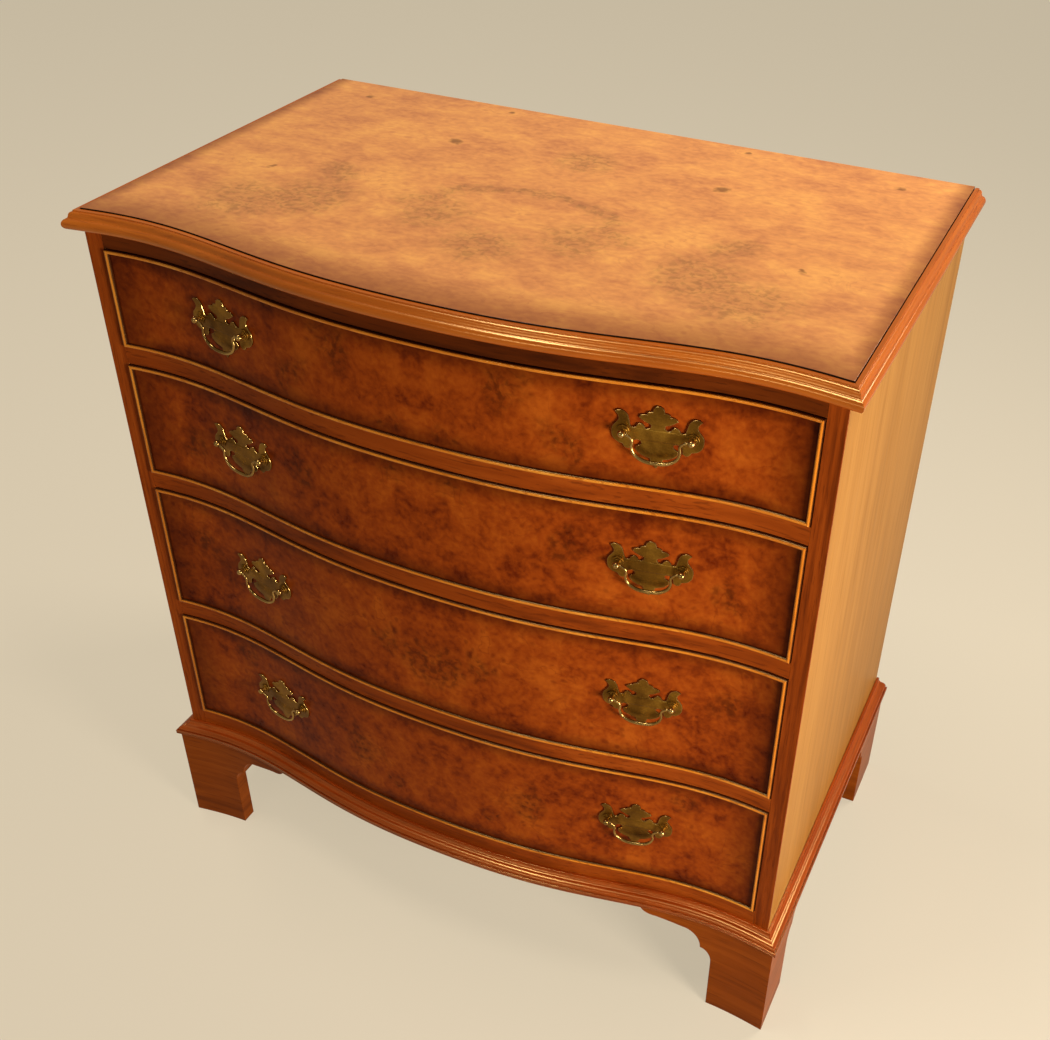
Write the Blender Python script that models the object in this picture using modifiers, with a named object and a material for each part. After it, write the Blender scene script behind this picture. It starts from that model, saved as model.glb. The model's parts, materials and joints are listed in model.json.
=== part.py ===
"""Serpentine chest of four long drawers: joinery in separate pieces, with brass drop handles.

Metres, +Z up, the front towards -Y. The origin is on the floor, under the middle of the chest.
"""

import math

import bmesh
import bpy
from mathutils import Matrix, Vector

# Clearances
GLUE_LINE = 0.0003              # between pieces that are glued, housed or resting on each other
DRAWER_REVEAL = 0.0008          # round each drawer in its opening
PIVOT_CLEARANCE = 0.0005        # round the bail's pins in their sockets
WELD_DISTANCE = 0.00001         # points closer than this are one

# Serpentine line of the front, in plan
SERPENTINE_DEPTH = 0.0174       # main wave: a bow in the middle and a hollow at each end
SERPENTINE_FLATTENING = 0.0025  # second wave, which flattens the bow and tightens the hollows
HOLLOW_OFFSET = 0.308           # centre line to the bottom of each hollow
FRONT_FACETS = 18

# Case
CASE_WIDTH = 0.740              # over the sides
CASE_DEPTH = 0.442              # front corners to the back
SIDE_THICKNESS = 0.017
BACK_THICKNESS = 0.006
BACK_REBATE = 0.008             # rebate for the back, into each side
RAIL_HEIGHT = 0.0185            # between drawers
TOP_RAIL_HEIGHT = 0.018
BOTTOM_RAIL_REVEAL = 0.0195     # bottom rail that shows over the base moulding
RAIL_DEPTH = 0.045              # front corners to the rails' back edges
TENON_LENGTH = 0.007
TENON_SETBACK = 0.012
TENON_WIDTH = 0.024
RUNNER_WIDTH = 0.012
RUNNER_END_GAP = 0.004          # runner to the back's rebate
BOARD_THICKNESS = 0.010         # board that closes the case below
BOARD_RISE = 0.003
BOARD_HOUSING = 0.006

# Top and its moulded edge
TOP_THICKNESS = 0.019
TOP_PROJECTION = 0.013
TOP_QUIRK = 0.0012              # drop from the panel to the moulding's fillet
TOP_FILLET = 0.003
TOP_STEP = 0.001
TOP_NOSE_RADIUS = 0.005

# Base moulding
BASE_HEIGHT = 0.016
BASE_PROJECTION = 0.0155
BASE_FILLET = 0.0045
BASE_QUIRK = 0.0025
BASE_OVOLO_WIDTH = 0.006
BASE_OVOLO_HEIGHT = 0.005

# Bracket feet: a leg, two scallops, a rising wing and its tip
FOOT_HEIGHT = 0.1355
FOOT_PROJECTION = 0.012
FOOT_THICKNESS = 0.018
LEG_WIDTH = 0.068
REAR_LEG_WIDTH = 0.078
LOWER_SCALLOP_WIDTH = 0.0135
LOWER_SCALLOP_HEIGHT = 0.0185
UPPER_SCALLOP_WIDTH = 0.022
UPPER_SCALLOP_HEIGHT = 0.0245
WING_RUN = 0.030
WING_RISE = 0.0055
TIP_RUN = 0.0175
TIP_RISE = 0.013
GLUE_BLOCK = 0.030
REAR_BRACKET_RUN = 0.045        # slope of the plain bracket across the back
REAR_BRACKET_DEPTH = 0.030      # that bracket's depth at its inner end

# Drawers, from the top down
TOP_OPENING_HEIGHT = 0.1035
UPPER_OPENING_HEIGHT = 0.129
LOWER_OPENING_HEIGHT = 0.155
BOTTOM_OPENING_HEIGHT = 0.151
DRAWER_FRONT_THICKNESS = 0.020
BEAD_THICKNESS = 0.004
BEAD_PROJECTION = 0.003
BEAD_SEAT = 0.009               # depth of the rebate that the bead is let into
DRAWER_SIDE_THICKNESS = 0.010
DRAWER_SIDE_INSET = 0.0005      # drawer sides inside the bead's outer edge
DRAWER_TOP_CLEARANCE = 0.004
DRAWER_END_CLEARANCE = 0.012    # drawer sides to the case back
DRAWER_BACK_THICKNESS = 0.010
DRAWER_BACK_INSET = 0.008
DRAWER_BACK_DROP = 0.006
DRAWER_BACK_HOUSING = 0.003
DRAWER_BOTTOM_THICKNESS = 0.005
DRAWER_BOTTOM_RISE = 0.009
DRAWER_BOTTOM_INSET = 0.002
GROOVE_DEPTH = 0.005
GROOVE_LAND = 0.001             # wood between the bottom's groove and the back's housing
TAIL_PITCH = 0.030              # least height of side for each dovetail
TAIL_WIDTH = 0.018
TAIL_FLARE = 0.0022
LAP_COVER = 0.003               # wood left between the dovetails and the bead's rebate

# Handles
HANDLE_OFFSET = 0.2175          # each side of the centre line
HANDLE_RISE = 0.0052            # posts above the middle of the drawer
POST_SPACING = 0.0588
PLATE_THICKNESS = 0.0018
POST_REACH = 0.006              # plate to the bail's axis
POST_BALL_RADIUS = 0.0034
POST_NECK_RADIUS = 0.0024
POST_COLLAR_RADIUS = 0.0058
POST_COLLAR_HEIGHT = 0.0012
PIN_RADIUS = 0.0013
PIN_LENGTH = 0.0045
BAIL_HALF_WIDTH = 0.0203
BAIL_DROP = 0.0236              # axis to the middle of the grip
BAIL_SHOULDER_DROP = 0.0042     # axis to where each limb turns down
BAIL_HIP_RISE = 0.0115          # grip to where each limb is widest
BAIL_TURN_RISE = 0.0045         # grip to where each limb turns in
BAIL_TURN_INSET = 0.0042
BAIL_GRIP_RADIUS = 0.0019

# Right half of a handle plate, from crest to drop, in fifty-eighths of the post spacing
ROUND = "AUTO"
SHARP = "VECTOR"
PLATE_HALF = (
    (0.0, 26.2, ROUND), (4.4, 22.6, ROUND), (4.9, 20.6, SHARP), (8.4, 19.4, ROUND), (9.6, 17.4, SHARP),
    (13.6, 16.8, ROUND), (16.2, 14.2, SHARP), (10.4, 10.2, ROUND), (6.0, 7.4, ROUND), (9.6, 4.6, ROUND),
    (14.6, 8.6, ROUND), (18.4, 5.0, SHARP), (22.8, 4.6, SHARP), (24.2, 11.2, ROUND), (29.4, 18.4, ROUND),
    (36.2, 17.0, SHARP), (32.8, 10.4, ROUND), (38.4, -0.4, ROUND), (36.6, -8.4, ROUND), (28.8, -12.6, SHARP),
    (24.4, -16.2, ROUND), (19.4, -8.0, SHARP), (13.6, -9.2, ROUND), (17.2, -12.8, SHARP),
    (16.4, -18.0, ROUND), (5.6, -23.2, SHARP), (3.6, -27.4, ROUND), (0.0, -32.6, SHARP),
)
PLATE_GRID = 58.0

# Facets of the round work
ARC_FACETS = 4
NOSE_FACETS = 3
BEAD_FACETS = 2
POST_FACETS = 8
PLATE_FACETS = 2
BAIL_FACETS = 2
BAIL_RING = 1

# Levels and lines that follow from the sizes above
HALF_WIDTH = CASE_WIDTH / 2
OPENING_HALF = HALF_WIDTH - SIDE_THICKNESS
BASE_TOP = FOOT_HEIGHT + BASE_HEIGHT
OPENING_HEIGHTS = (TOP_OPENING_HEIGHT, UPPER_OPENING_HEIGHT, LOWER_OPENING_HEIGHT, BOTTOM_OPENING_HEIGHT)
RAILS_BETWEEN = len(OPENING_HEIGHTS) - 1
CASE_HEIGHT = BOTTOM_RAIL_REVEAL + sum(OPENING_HEIGHTS) + RAIL_HEIGHT * RAILS_BETWEEN
TOP_UNDERSIDE = BASE_TOP + CASE_HEIGHT + TOP_RAIL_HEIGHT
CASE_TOP = TOP_UNDERSIDE - GLUE_LINE
HEIGHT = TOP_UNDERSIDE + TOP_THICKNESS
BOARD_BOTTOM = FOOT_HEIGHT + BOARD_RISE
BOARD_TOP = BOARD_BOTTOM + BOARD_THICKNESS
PAST = 0.010                    # how far a cutter runs past what it cuts
FACET = CASE_WIDTH / FRONT_FACETS


def serpentine(x):
    """Depth of the serpentine line at x, behind its own mean line."""
    angle = math.pi * x / HOLLOW_OFFSET
    return SERPENTINE_FLATTENING * math.cos(2 * angle) - SERPENTINE_DEPTH * math.cos(angle)


def serpentine_turn(x):
    """Angle in plan of the serpentine line at x."""
    angle = math.pi * x / HOLLOW_OFFSET
    wave = SERPENTINE_DEPTH * math.sin(angle) - 2 * SERPENTINE_FLATTENING * math.sin(2 * angle)
    return math.atan(wave * math.pi / HOLLOW_OFFSET)


BOW = serpentine(HALF_WIDTH) - serpentine(0.0)
OVERALL_DEPTH = BOW + BASE_PROJECTION + CASE_DEPTH
FRONT = BOW + BASE_PROJECTION - OVERALL_DEPTH / 2
BACK = OVERALL_DEPTH / 2
BACK_SHOULDER = BACK - BACK_THICKNESS - GLUE_LINE
RAIL_BACK = FRONT + RAIL_DEPTH


def front_y(x):
    """Where the faceted front is at x. Its end facets run straight on past the corners."""
    facet = min(max(math.floor((x + HALF_WIDTH) / FACET), 0), FRONT_FACETS - 1)
    start = facet * FACET - HALF_WIDTH
    near = serpentine(start)
    far = serpentine(start + FACET)
    depth = near + (far - near) * (x - start) / FACET
    return FRONT + depth - serpentine(HALF_WIDTH)


CORNER_SLOPE = (front_y(HALF_WIDTH) - front_y(HALF_WIDTH - FACET)) / FACET


def front_line(left, right, setback=0.0):
    """Points of the front from left to right, moved back by setback."""
    corners = [facet * FACET - HALF_WIDTH for facet in range(FRONT_FACETS + 1)]
    inner = [x for x in corners if left + GLUE_LINE < x < right - GLUE_LINE]
    return [(x, front_y(x) + setback) for x in (left, *inner, right)]


def front_band(half, near, far, left=None):
    """Outline in plan of a strip that follows the front, from setback near to setback far."""
    left = -half if left is None else left
    return front_line(left, half, near) + front_line(left, half, far)[::-1]


def arc(centre, width, height, start, end, facets=ARC_FACETS):
    """Points of an elliptical arc, between two angles in degrees."""
    angles = [math.radians(start + (end - start) * step / facets) for step in range(facets + 1)]
    return [(centre[0] + width * math.cos(a), centre[1] + height * math.sin(a)) for a in angles]


def start_scene():
    """Empty the scene and make the two collections."""
    for leftover in list(bpy.data.objects):
        bpy.data.objects.remove(leftover)
    made = []
    for name in ("serpentine_chest", "cutters"):
        collection = bpy.data.collections.new(name)
        bpy.context.scene.collection.children.link(collection)
        made.append(collection)
    return made


PARTS, CUTTERS = start_scene()


def finish(name, colour, roughness, metallic=0.0):
    """Principled material of one finish."""
    material = bpy.data.materials.new(name)
    material.use_nodes = True
    shader = material.node_tree.nodes["Principled BSDF"]
    shader.inputs["Base Color"].default_value = (*colour, 1.0)
    shader.inputs["Roughness"].default_value = roughness
    shader.inputs["Metallic"].default_value = metallic
    return material


TOP_BURR = finish("top_burr", (0.40, 0.15, 0.035), 0.22)
FRONT_BURR = finish("front_burr", (0.20, 0.065, 0.02), 0.28)
WALNUT = finish("walnut", (0.17, 0.055, 0.02), 0.30)
SIDE_WALNUT = finish("side_walnut", (0.22, 0.085, 0.03), 0.22)
BEAD_WOOD = finish("bead_wood", (0.44, 0.19, 0.055), 0.30)
LINING = finish("lining", (0.46, 0.30, 0.15), 0.55)
BRASS = finish("aged_brass", (0.36, 0.25, 0.09), 0.36, 1.0)

AS_DRAWN = Matrix.Identity(4)
PLAN = Matrix.Identity(3)
FRONT_ELEVATION = Matrix(((1, 0, 0), (0, 0, -1), (0, 1, 0)))
SIDE_ELEVATION = Matrix(((0, 0, 1), (1, 0, 0), (0, 1, 0)))


def add_object(name, mesh, placement=AS_DRAWN):
    piece = bpy.data.objects.new(name, mesh)
    piece.matrix_world = placement
    PARTS.objects.link(piece)
    return piece


def mesh_of_curve(name, curve, turn=PLAN, shift=(0.0, 0.0, 0.0)):
    """Closed mesh object of a curve, turned and shifted into place."""
    drawn = bpy.data.objects.new(name, curve)
    PARTS.objects.link(drawn)
    evaluated = drawn.evaluated_get(bpy.context.evaluated_depsgraph_get())
    mesh = bpy.data.meshes.new_from_object(evaluated)
    bpy.data.objects.remove(drawn)
    welded = bmesh.new()
    welded.from_mesh(mesh)
    bmesh.ops.remove_doubles(welded, verts=welded.verts, dist=WELD_DISTANCE)
    bmesh.ops.recalc_face_normals(welded, faces=welded.faces)
    welded.to_mesh(mesh)
    welded.free()
    mesh.transform(Matrix.Translation(shift) @ turn.to_4x4())
    return add_object(name, mesh)


def flat_curve(name, thickness):
    curve = bpy.data.curves.new(name, "CURVE")
    curve.dimensions = "2D"
    curve.fill_mode = "BOTH"
    curve.extrude = thickness / 2
    return curve


def outline_solid(name, outlines, low, high, turn=PLAN):
    """Solid of one or more closed outlines, between two levels square to the view they are drawn in."""
    curve = flat_curve(name, high - low)
    for outline in outlines:
        spline = curve.splines.new("POLY")
        spline.points.add(len(outline) - 1)
        for point, (across, along) in zip(spline.points, outline):
            point.co = (across, along, 0.0, 1.0)
        spline.use_cyclic_u = True
    through = turn @ Vector((0.0, 0.0, 1.0))
    middle = (low + high) / 2
    return mesh_of_curve(name, curve, turn, [abs(share) * middle for share in through])


def blocks(name, spans):
    """One object of separate rectangular blocks, each given as its two opposite corners."""
    built = bmesh.new()
    for first, second in spans:
        size = [abs(b - a) for a, b in zip(first, second)]
        middle = [(a + b) / 2 for a, b in zip(first, second)]
        placement = Matrix.Translation(middle) @ Matrix.Diagonal((*size, 1.0))
        bmesh.ops.create_cube(built, size=1.0, matrix=placement)
    mesh = bpy.data.meshes.new(name)
    built.to_mesh(mesh)
    built.free()
    return add_object(name, mesh)


def loft(name, rings, closed=False):
    """Solid through a row of sections: capped at both ends, or closed on itself as a frame."""
    built = bmesh.new()
    loops = [[built.verts.new(point) for point in ring] for ring in rings]
    following = loops[1:] + loops[:1] if closed else loops[1:]
    for near, far in zip(loops, following):
        for place in range(len(near)):
            built.faces.new((near[place - 1], near[place], far[place], far[place - 1]))
    if not closed:
        built.faces.new(loops[0])
        built.faces.new(loops[-1])
    bmesh.ops.recalc_face_normals(built, faces=built.faces)
    mesh = bpy.data.meshes.new(name)
    built.to_mesh(mesh)
    built.free()
    return add_object(name, mesh)


def combine(piece, operation, tool):
    """Cut a piece with a tool, or join the tool to it."""
    modifier = piece.modifiers.new(operation.lower(), "BOOLEAN")
    modifier.operation = operation
    modifier.object = tool
    tool.hide_render = True
    tool.display_type = "WIRE"
    PARTS.objects.unlink(tool)
    CUTTERS.objects.link(tool)


def mitre(piece, side, keep_front):
    """Cut a moulding on the mitre of one front corner, half a glue line short of it."""
    outward = Vector((side * (1.0 - CORNER_SLOPE), 1.0, 0.0)).normalized()
    if not keep_front:
        outward.negate()
    corner = Vector((side * HALF_WIDTH, FRONT, 0.0)) - outward * GLUE_LINE / 2
    cut = bmesh.new()
    cut.from_mesh(piece.data)
    everything = list(cut.verts) + list(cut.edges) + list(cut.faces)
    bmesh.ops.bisect_plane(cut, geom=everything, plane_co=corner, plane_no=outward, clear_outer=True)
    open_edges = [edge for edge in cut.edges if edge.is_boundary]
    bmesh.ops.edgeloop_fill(cut, edges=open_edges)
    bmesh.ops.recalc_face_normals(cut, faces=cut.faces)
    cut.to_mesh(piece.data)
    cut.free()


def complete(piece, material, carrier=None):
    """Give a piece its finish, and hang it on the empty that carries it."""
    piece.data.materials.append(material)
    if carrier:
        piece.parent = carrier
        piece.matrix_parent_inverse = carrier.matrix_world.inverted()


def mirrored(side, outline):
    return [(side * across, along) for across, along in outline]


def opening_levels():
    """Bottom and top of each drawer's opening, from the top drawer down."""
    levels = []
    top = TOP_UNDERSIDE - TOP_RAIL_HEIGHT
    for height in OPENING_HEIGHTS:
        levels.append((top - height, top))
        top -= height + RAIL_HEIGHT
    return levels


OPENINGS = opening_levels()


def rail_levels():
    """Bottom and top of each rail, from the top rail down."""
    tops = [CASE_TOP] + [bottom for bottom, top in OPENINGS]
    bottoms = [top for bottom, top in OPENINGS] + [FOOT_HEIGHT]
    return list(zip(bottoms, tops))


RAILS = rail_levels()


def top_section():
    """Moulded edge of the top: quirk, fillet, ovolo and a rounded nose."""
    shoulder = TOP_UNDERSIDE + TOP_THICKNESS - TOP_QUIRK
    step = shoulder - TOP_STEP
    nose = TOP_UNDERSIDE + TOP_NOSE_RADIUS
    ovolo = arc((TOP_FILLET, nose), TOP_PROJECTION - TOP_FILLET, step - nose, 90, 0)
    under = arc((TOP_PROJECTION - TOP_NOSE_RADIUS, nose), TOP_NOSE_RADIUS, TOP_NOSE_RADIUS, 0, -90,
                NOSE_FACETS)
    return [(GLUE_LINE, TOP_UNDERSIDE), (GLUE_LINE, shoulder), (TOP_FILLET, shoulder), *ovolo, *under[1:]]


def base_section():
    """Base moulding: fillet, quirk, ovolo, and a cove up to the case."""
    shoulder = FOOT_HEIGHT + BASE_FILLET
    neck = BASE_PROJECTION - BASE_QUIRK
    crown = neck - BASE_OVOLO_WIDTH
    ovolo = arc((crown, shoulder), BASE_OVOLO_WIDTH, BASE_OVOLO_HEIGHT, 0, 90)
    cove_height = BASE_TOP - shoulder - BASE_OVOLO_HEIGHT
    cove = arc((crown, BASE_TOP), crown - GLUE_LINE, cove_height, 270, 180)
    foot = [(GLUE_LINE, FOOT_HEIGHT), (BASE_PROJECTION, FOOT_HEIGHT), (BASE_PROJECTION, shoulder)]
    return [*foot, *ovolo, *cove[1:]]


def build_moulding(name, section, projection):
    """A moulding round the front and both sides, mitred at the front corners."""
    reach = HALF_WIDTH + projection + PAST
    rings = [[(x, y - ahead, height) for ahead, height in section] for x, y in front_line(-reach, reach)]
    front = loft(f"{name}_front", rings)
    for side in (-1, 1):
        mitre(front, side, keep_front=True)
    complete(front, WALNUT)
    for side, label in ((-1, "left"), (1, "right")):
        outline = [(side * (HALF_WIDTH + ahead), height) for ahead, height in section]
        start = FRONT - projection - PAST - projection * abs(CORNER_SLOPE)
        run = outline_solid(f"{name}_{label}", [outline], start, BACK, FRONT_ELEVATION)
        mitre(run, side, keep_front=False)
        complete(run, WALNUT)


def build_top():
    outline = front_line(-HALF_WIDTH, HALF_WIDTH) + [(HALF_WIDTH, BACK), (-HALF_WIDTH, BACK)]
    complete(outline_solid("top_panel", [outline], TOP_UNDERSIDE, HEIGHT), TOP_BURR)
    build_moulding("top_moulding", top_section(), TOP_PROJECTION)


def build_case_side(side, label):
    """A side with its back rebate, mortises, bottom housing, and the runners glued on."""
    rebate = OPENING_HALF + BACK_REBATE
    outline = front_line(OPENING_HALF, HALF_WIDTH)
    outline += [(HALF_WIDTH, BACK), (rebate, BACK), (rebate, BACK_SHOULDER), (OPENING_HALF, BACK_SHOULDER)]
    board = outline_solid(f"side_{label}", [mirrored(side, outline)], FOOT_HEIGHT, CASE_TOP)

    near = side * (OPENING_HALF - RUNNER_WIDTH)
    sunk = side * (OPENING_HALF + SIDE_THICKNESS / 2)
    ahead = RAIL_BACK + GLUE_LINE
    behind = BACK_SHOULDER - RUNNER_END_GAP
    runner_levels = [(bottom, top) for bottom, top in RAILS[1:-1]]
    runner_levels.append((BOARD_TOP + 2 * GLUE_LINE, RAILS[-1][1]))
    runner_levels.append((RAILS[0][0], CASE_TOP - GLUE_LINE))
    runners = [((near, ahead, bottom), (sunk, behind, top)) for bottom, top in runner_levels]
    combine(board, "UNION", blocks(f"runners_{label}", runners))

    tenon_end = side * (OPENING_HALF + TENON_LENGTH + GLUE_LINE)
    clear = side * (OPENING_HALF - PAST)
    cheek = FRONT + TENON_SETBACK - GLUE_LINE
    far_cheek = FRONT + TENON_SETBACK + TENON_WIDTH + GLUE_LINE
    mortises = []
    for bottom, top in RAILS:
        low = bottom - PAST if bottom == FOOT_HEIGHT else bottom - GLUE_LINE
        high = top + PAST if top == CASE_TOP else top + GLUE_LINE
        mortises.append(((clear, cheek, low), (tenon_end, far_cheek, high)))
    combine(board, "DIFFERENCE", blocks(f"mortises_{label}", mortises))
    housing_end = side * (OPENING_HALF + BOARD_HOUSING + GLUE_LINE)
    housing = ((clear, RAIL_BACK - GLUE_LINE, BOARD_BOTTOM - GLUE_LINE),
               (housing_end, BACK + PAST, BOARD_TOP + GLUE_LINE))
    combine(board, "DIFFERENCE", blocks(f"housing_{label}", [housing]))
    complete(board, SIDE_WALNUT)


def build_case():
    for side, label in ((-1, "left"), (1, "right")):
        build_case_side(side, label)

    back_half = OPENING_HALF + BACK_REBATE - GLUE_LINE
    back_span = ((-back_half, BACK - BACK_THICKNESS, FOOT_HEIGHT), (back_half, BACK, CASE_TOP))
    complete(blocks("back_panel", [back_span]), LINING)
    board_half = OPENING_HALF + BOARD_HOUSING
    board_span = ((-board_half, RAIL_BACK + GLUE_LINE, BOARD_BOTTOM), (board_half, BACK_SHOULDER, BOARD_TOP))
    complete(blocks("bottom_board", [board_span]), LINING)

    half = OPENING_HALF - GLUE_LINE
    tenon = FRONT + TENON_SETBACK
    end = [(half, tenon), (half + TENON_LENGTH, tenon)]
    end += [(half + TENON_LENGTH, tenon + TENON_WIDTH), (half, tenon + TENON_WIDTH), (half, RAIL_BACK)]
    outline = front_line(-half, half) + end + mirrored(-1, end)[::-1]
    names = ("top_rail", "rail_upper", "rail_middle", "rail_lower", "bottom_rail")
    for name, (bottom, top) in zip(names, RAILS):
        complete(outline_solid(name, [outline], bottom, top), WALNUT)


def bracket_outline(leg_width):
    """Elevation of an ogee bracket: distance from the foot's outer corner, and height."""
    top = FOOT_HEIGHT - GLUE_LINE
    leg_top = top - TIP_RISE - WING_RISE - UPPER_SCALLOP_HEIGHT - LOWER_SCALLOP_HEIGHT
    cusp = leg_width + LOWER_SCALLOP_WIDTH
    shoulder = cusp + UPPER_SCALLOP_WIDTH
    cusp_level = leg_top + LOWER_SCALLOP_HEIGHT
    lower = arc((cusp, leg_top), LOWER_SCALLOP_WIDTH, LOWER_SCALLOP_HEIGHT, 180, 90)
    upper = arc((shoulder, cusp_level), UPPER_SCALLOP_WIDTH, UPPER_SCALLOP_HEIGHT, 180, 90)
    tip = arc((shoulder + WING_RUN, top), TIP_RUN, TIP_RISE, 270, 360)
    return [(0.0, 0.0), (leg_width, 0.0), *lower, *upper[1:], *tip, (0.0, top)]


def build_front_foot(side, label):
    """A serpentine front bracket and a straight side bracket, mitred round a glue block."""
    outer = HALF_WIDTH + FOOT_PROJECTION
    corner = front_y(outer) - FOOT_PROJECTION
    bracket = bracket_outline(LEG_WIDTH)
    length = max(distance for distance, height in bracket)
    face = [(side * (outer - distance), height) for distance, height in bracket]
    ahead = corner - BOW - PAST
    behind = corner + BOW + FOOT_THICKNESS + PAST
    foot = outline_solid(f"foot_front_{label}", [face], ahead, behind, FRONT_ELEVATION)
    band = front_band(outer + PAST, -FOOT_PROJECTION, FOOT_THICKNESS - FOOT_PROJECTION, outer - length - PAST)
    tool = outline_solid(f"foot_band_{label}", [mirrored(side, band)], -PAST, FOOT_HEIGHT + PAST)
    combine(foot, "INTERSECT", tool)

    seam = corner + FOOT_THICKNESS / 2
    flank = [(max(corner + distance, seam), height) for distance, height in bracket]
    span = sorted((side * outer, side * (outer - FOOT_THICKNESS)))
    combine(foot, "UNION", outline_solid(f"foot_flank_{label}", [flank], *span, SIDE_ELEVATION))
    block_corner = side * (outer - FOOT_THICKNESS / 2), seam, 0.0
    block_far = FOOT_THICKNESS + GLUE_BLOCK
    block_end = side * (outer - block_far), corner + block_far, FOOT_HEIGHT - GLUE_LINE
    combine(foot, "UNION", blocks(f"foot_block_front_{label}", [(block_corner, block_end)]))
    complete(foot, WALNUT)


def build_rear_foot(side, label):
    """A straight side bracket, a plain bracket across the back and a glue block."""
    outer = HALF_WIDTH + FOOT_PROJECTION
    top = FOOT_HEIGHT - GLUE_LINE
    flank = [(BACK - distance, height) for distance, height in bracket_outline(REAR_LEG_WIDTH)]
    span = sorted((side * outer, side * (outer - FOOT_THICKNESS)))
    foot = outline_solid(f"foot_rear_{label}", [flank], *span, SIDE_ELEVATION)
    inner = LEG_WIDTH + REAR_BRACKET_RUN
    seam = FOOT_THICKNESS / 2
    plain = [(seam, 0.0), (LEG_WIDTH, 0.0), (inner, top - REAR_BRACKET_DEPTH), (inner, top), (seam, top)]
    face = [(side * (outer - distance), height) for distance, height in plain]
    combine(foot, "UNION", outline_solid(f"foot_plain_{label}", [face], BACK - FOOT_THICKNESS, BACK,
                                         FRONT_ELEVATION))
    block_corner = side * (outer - seam), BACK - seam, 0.0
    block_far = FOOT_THICKNESS + GLUE_BLOCK
    block_end = side * (outer - block_far), BACK - block_far, top
    combine(foot, "UNION", blocks(f"foot_block_rear_{label}", [(block_corner, block_end)]))
    complete(foot, WALNUT)


def build_base():
    build_moulding("base_moulding", base_section(), BASE_PROJECTION)
    for side, label in ((-1, "left"), (1, "right")):
        build_front_foot(side, label)
        build_rear_foot(side, label)


BEAD_HALF = OPENING_HALF - DRAWER_REVEAL
BOX_HALF = BEAD_HALF - DRAWER_SIDE_INSET
BOX_INNER = BOX_HALF - DRAWER_SIDE_THICKNESS
BOX_END = BACK_SHOULDER - DRAWER_END_CLEARANCE
FRONT_SHOULDER = max(front_y(BOX_HALF), front_y(BOX_INNER)) + DRAWER_FRONT_THICKNESS
TAIL_ROOT = FRONT_SHOULDER + GLUE_LINE
TAIL_TIP = max(front_y(BOX_HALF), front_y(BOX_INNER)) + BEAD_SEAT + GLUE_LINE + LAP_COVER


def tail_centres(low, high):
    """Heights of the dovetails' centres on a drawer side, evenly spread."""
    count = max(math.floor((high - low) / TAIL_PITCH), 1)
    pitch = (high - low) / count
    return [low + pitch * (place + 0.5) for place in range(count)]


def build_drawer_front(name, low, high, side_low, side_high, carrier):
    """Serpentine front, rebated round its edge for the bead, with dovetail sockets and a groove behind."""
    inset = BEAD_THICKNESS + GLUE_LINE
    seat = BEAD_SEAT + GLUE_LINE
    body = front_band(BOX_HALF, seat, DRAWER_FRONT_THICKNESS)
    front = outline_solid(f"{name}_front", [body], low, high)
    raised = front_band(BEAD_HALF - inset, 0.0, (seat + DRAWER_FRONT_THICKNESS) / 2)
    combine(front, "UNION", outline_solid(f"{name}_field", [raised], low + inset, high - inset))

    sockets = []
    half_root = TAIL_WIDTH / 2 + GLUE_LINE
    half_tip = half_root + TAIL_FLARE
    for centre in tail_centres(side_low, side_high):
        sockets.append([
            (TAIL_ROOT + PAST, centre - half_root), (TAIL_ROOT, centre - half_root),
            (TAIL_TIP - GLUE_LINE, centre - half_tip), (TAIL_TIP - GLUE_LINE, centre + half_tip),
            (TAIL_ROOT, centre + half_root), (TAIL_ROOT + PAST, centre + half_root),
        ])
    for side, label in ((-1, "left"), (1, "right")):
        span = sorted((side * (BOX_INNER - GLUE_LINE), side * (BOX_HALF + PAST)))
        tool = outline_solid(f"{name}_sockets_{label}", sockets, *span, SIDE_ELEVATION)
        combine(front, "DIFFERENCE", tool)
    bottom = side_low + DRAWER_BOTTOM_RISE
    groove = front_band(BOX_INNER + GROOVE_DEPTH, DRAWER_FRONT_THICKNESS - GROOVE_DEPTH,
                        DRAWER_FRONT_THICKNESS + PAST)
    tool = outline_solid(f"{name}_groove", [groove], bottom - GLUE_LINE,
                         bottom + DRAWER_BOTTOM_THICKNESS + GLUE_LINE)
    combine(front, "DIFFERENCE", tool)
    complete(front, FRONT_BURR, carrier)


def bead_section():
    """Cock bead in section: distance ahead of the front, and distance in from its outer edge."""
    radius = BEAD_THICKNESS / 2
    rounded = arc((BEAD_PROJECTION - radius, radius), radius, radius, -90, 90, BEAD_FACETS)
    return [(-BEAD_SEAT, 0.0), *rounded, (-BEAD_SEAT, BEAD_THICKNESS)]


def build_bead(name, low, high, carrier):
    """Cock bead round a drawer front, as one frame mitred at its corners."""
    stations = [x for x, y in front_line(-BEAD_HALF, BEAD_HALF)]
    rings = []
    for level, inward, run in ((low, 1, stations), (high, -1, stations[::-1])):
        for x in run:
            sideways = -math.copysign(1, x) if x in (stations[0], stations[-1]) else 0
            ring = []
            for ahead, inset in bead_section():
                place = x + sideways * inset
                ring.append((place, front_y(place) - ahead, level + inward * inset))
            rings.append(ring)
    complete(loft(f"{name}_cock_bead", rings, closed=True), BEAD_WOOD, carrier)


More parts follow.
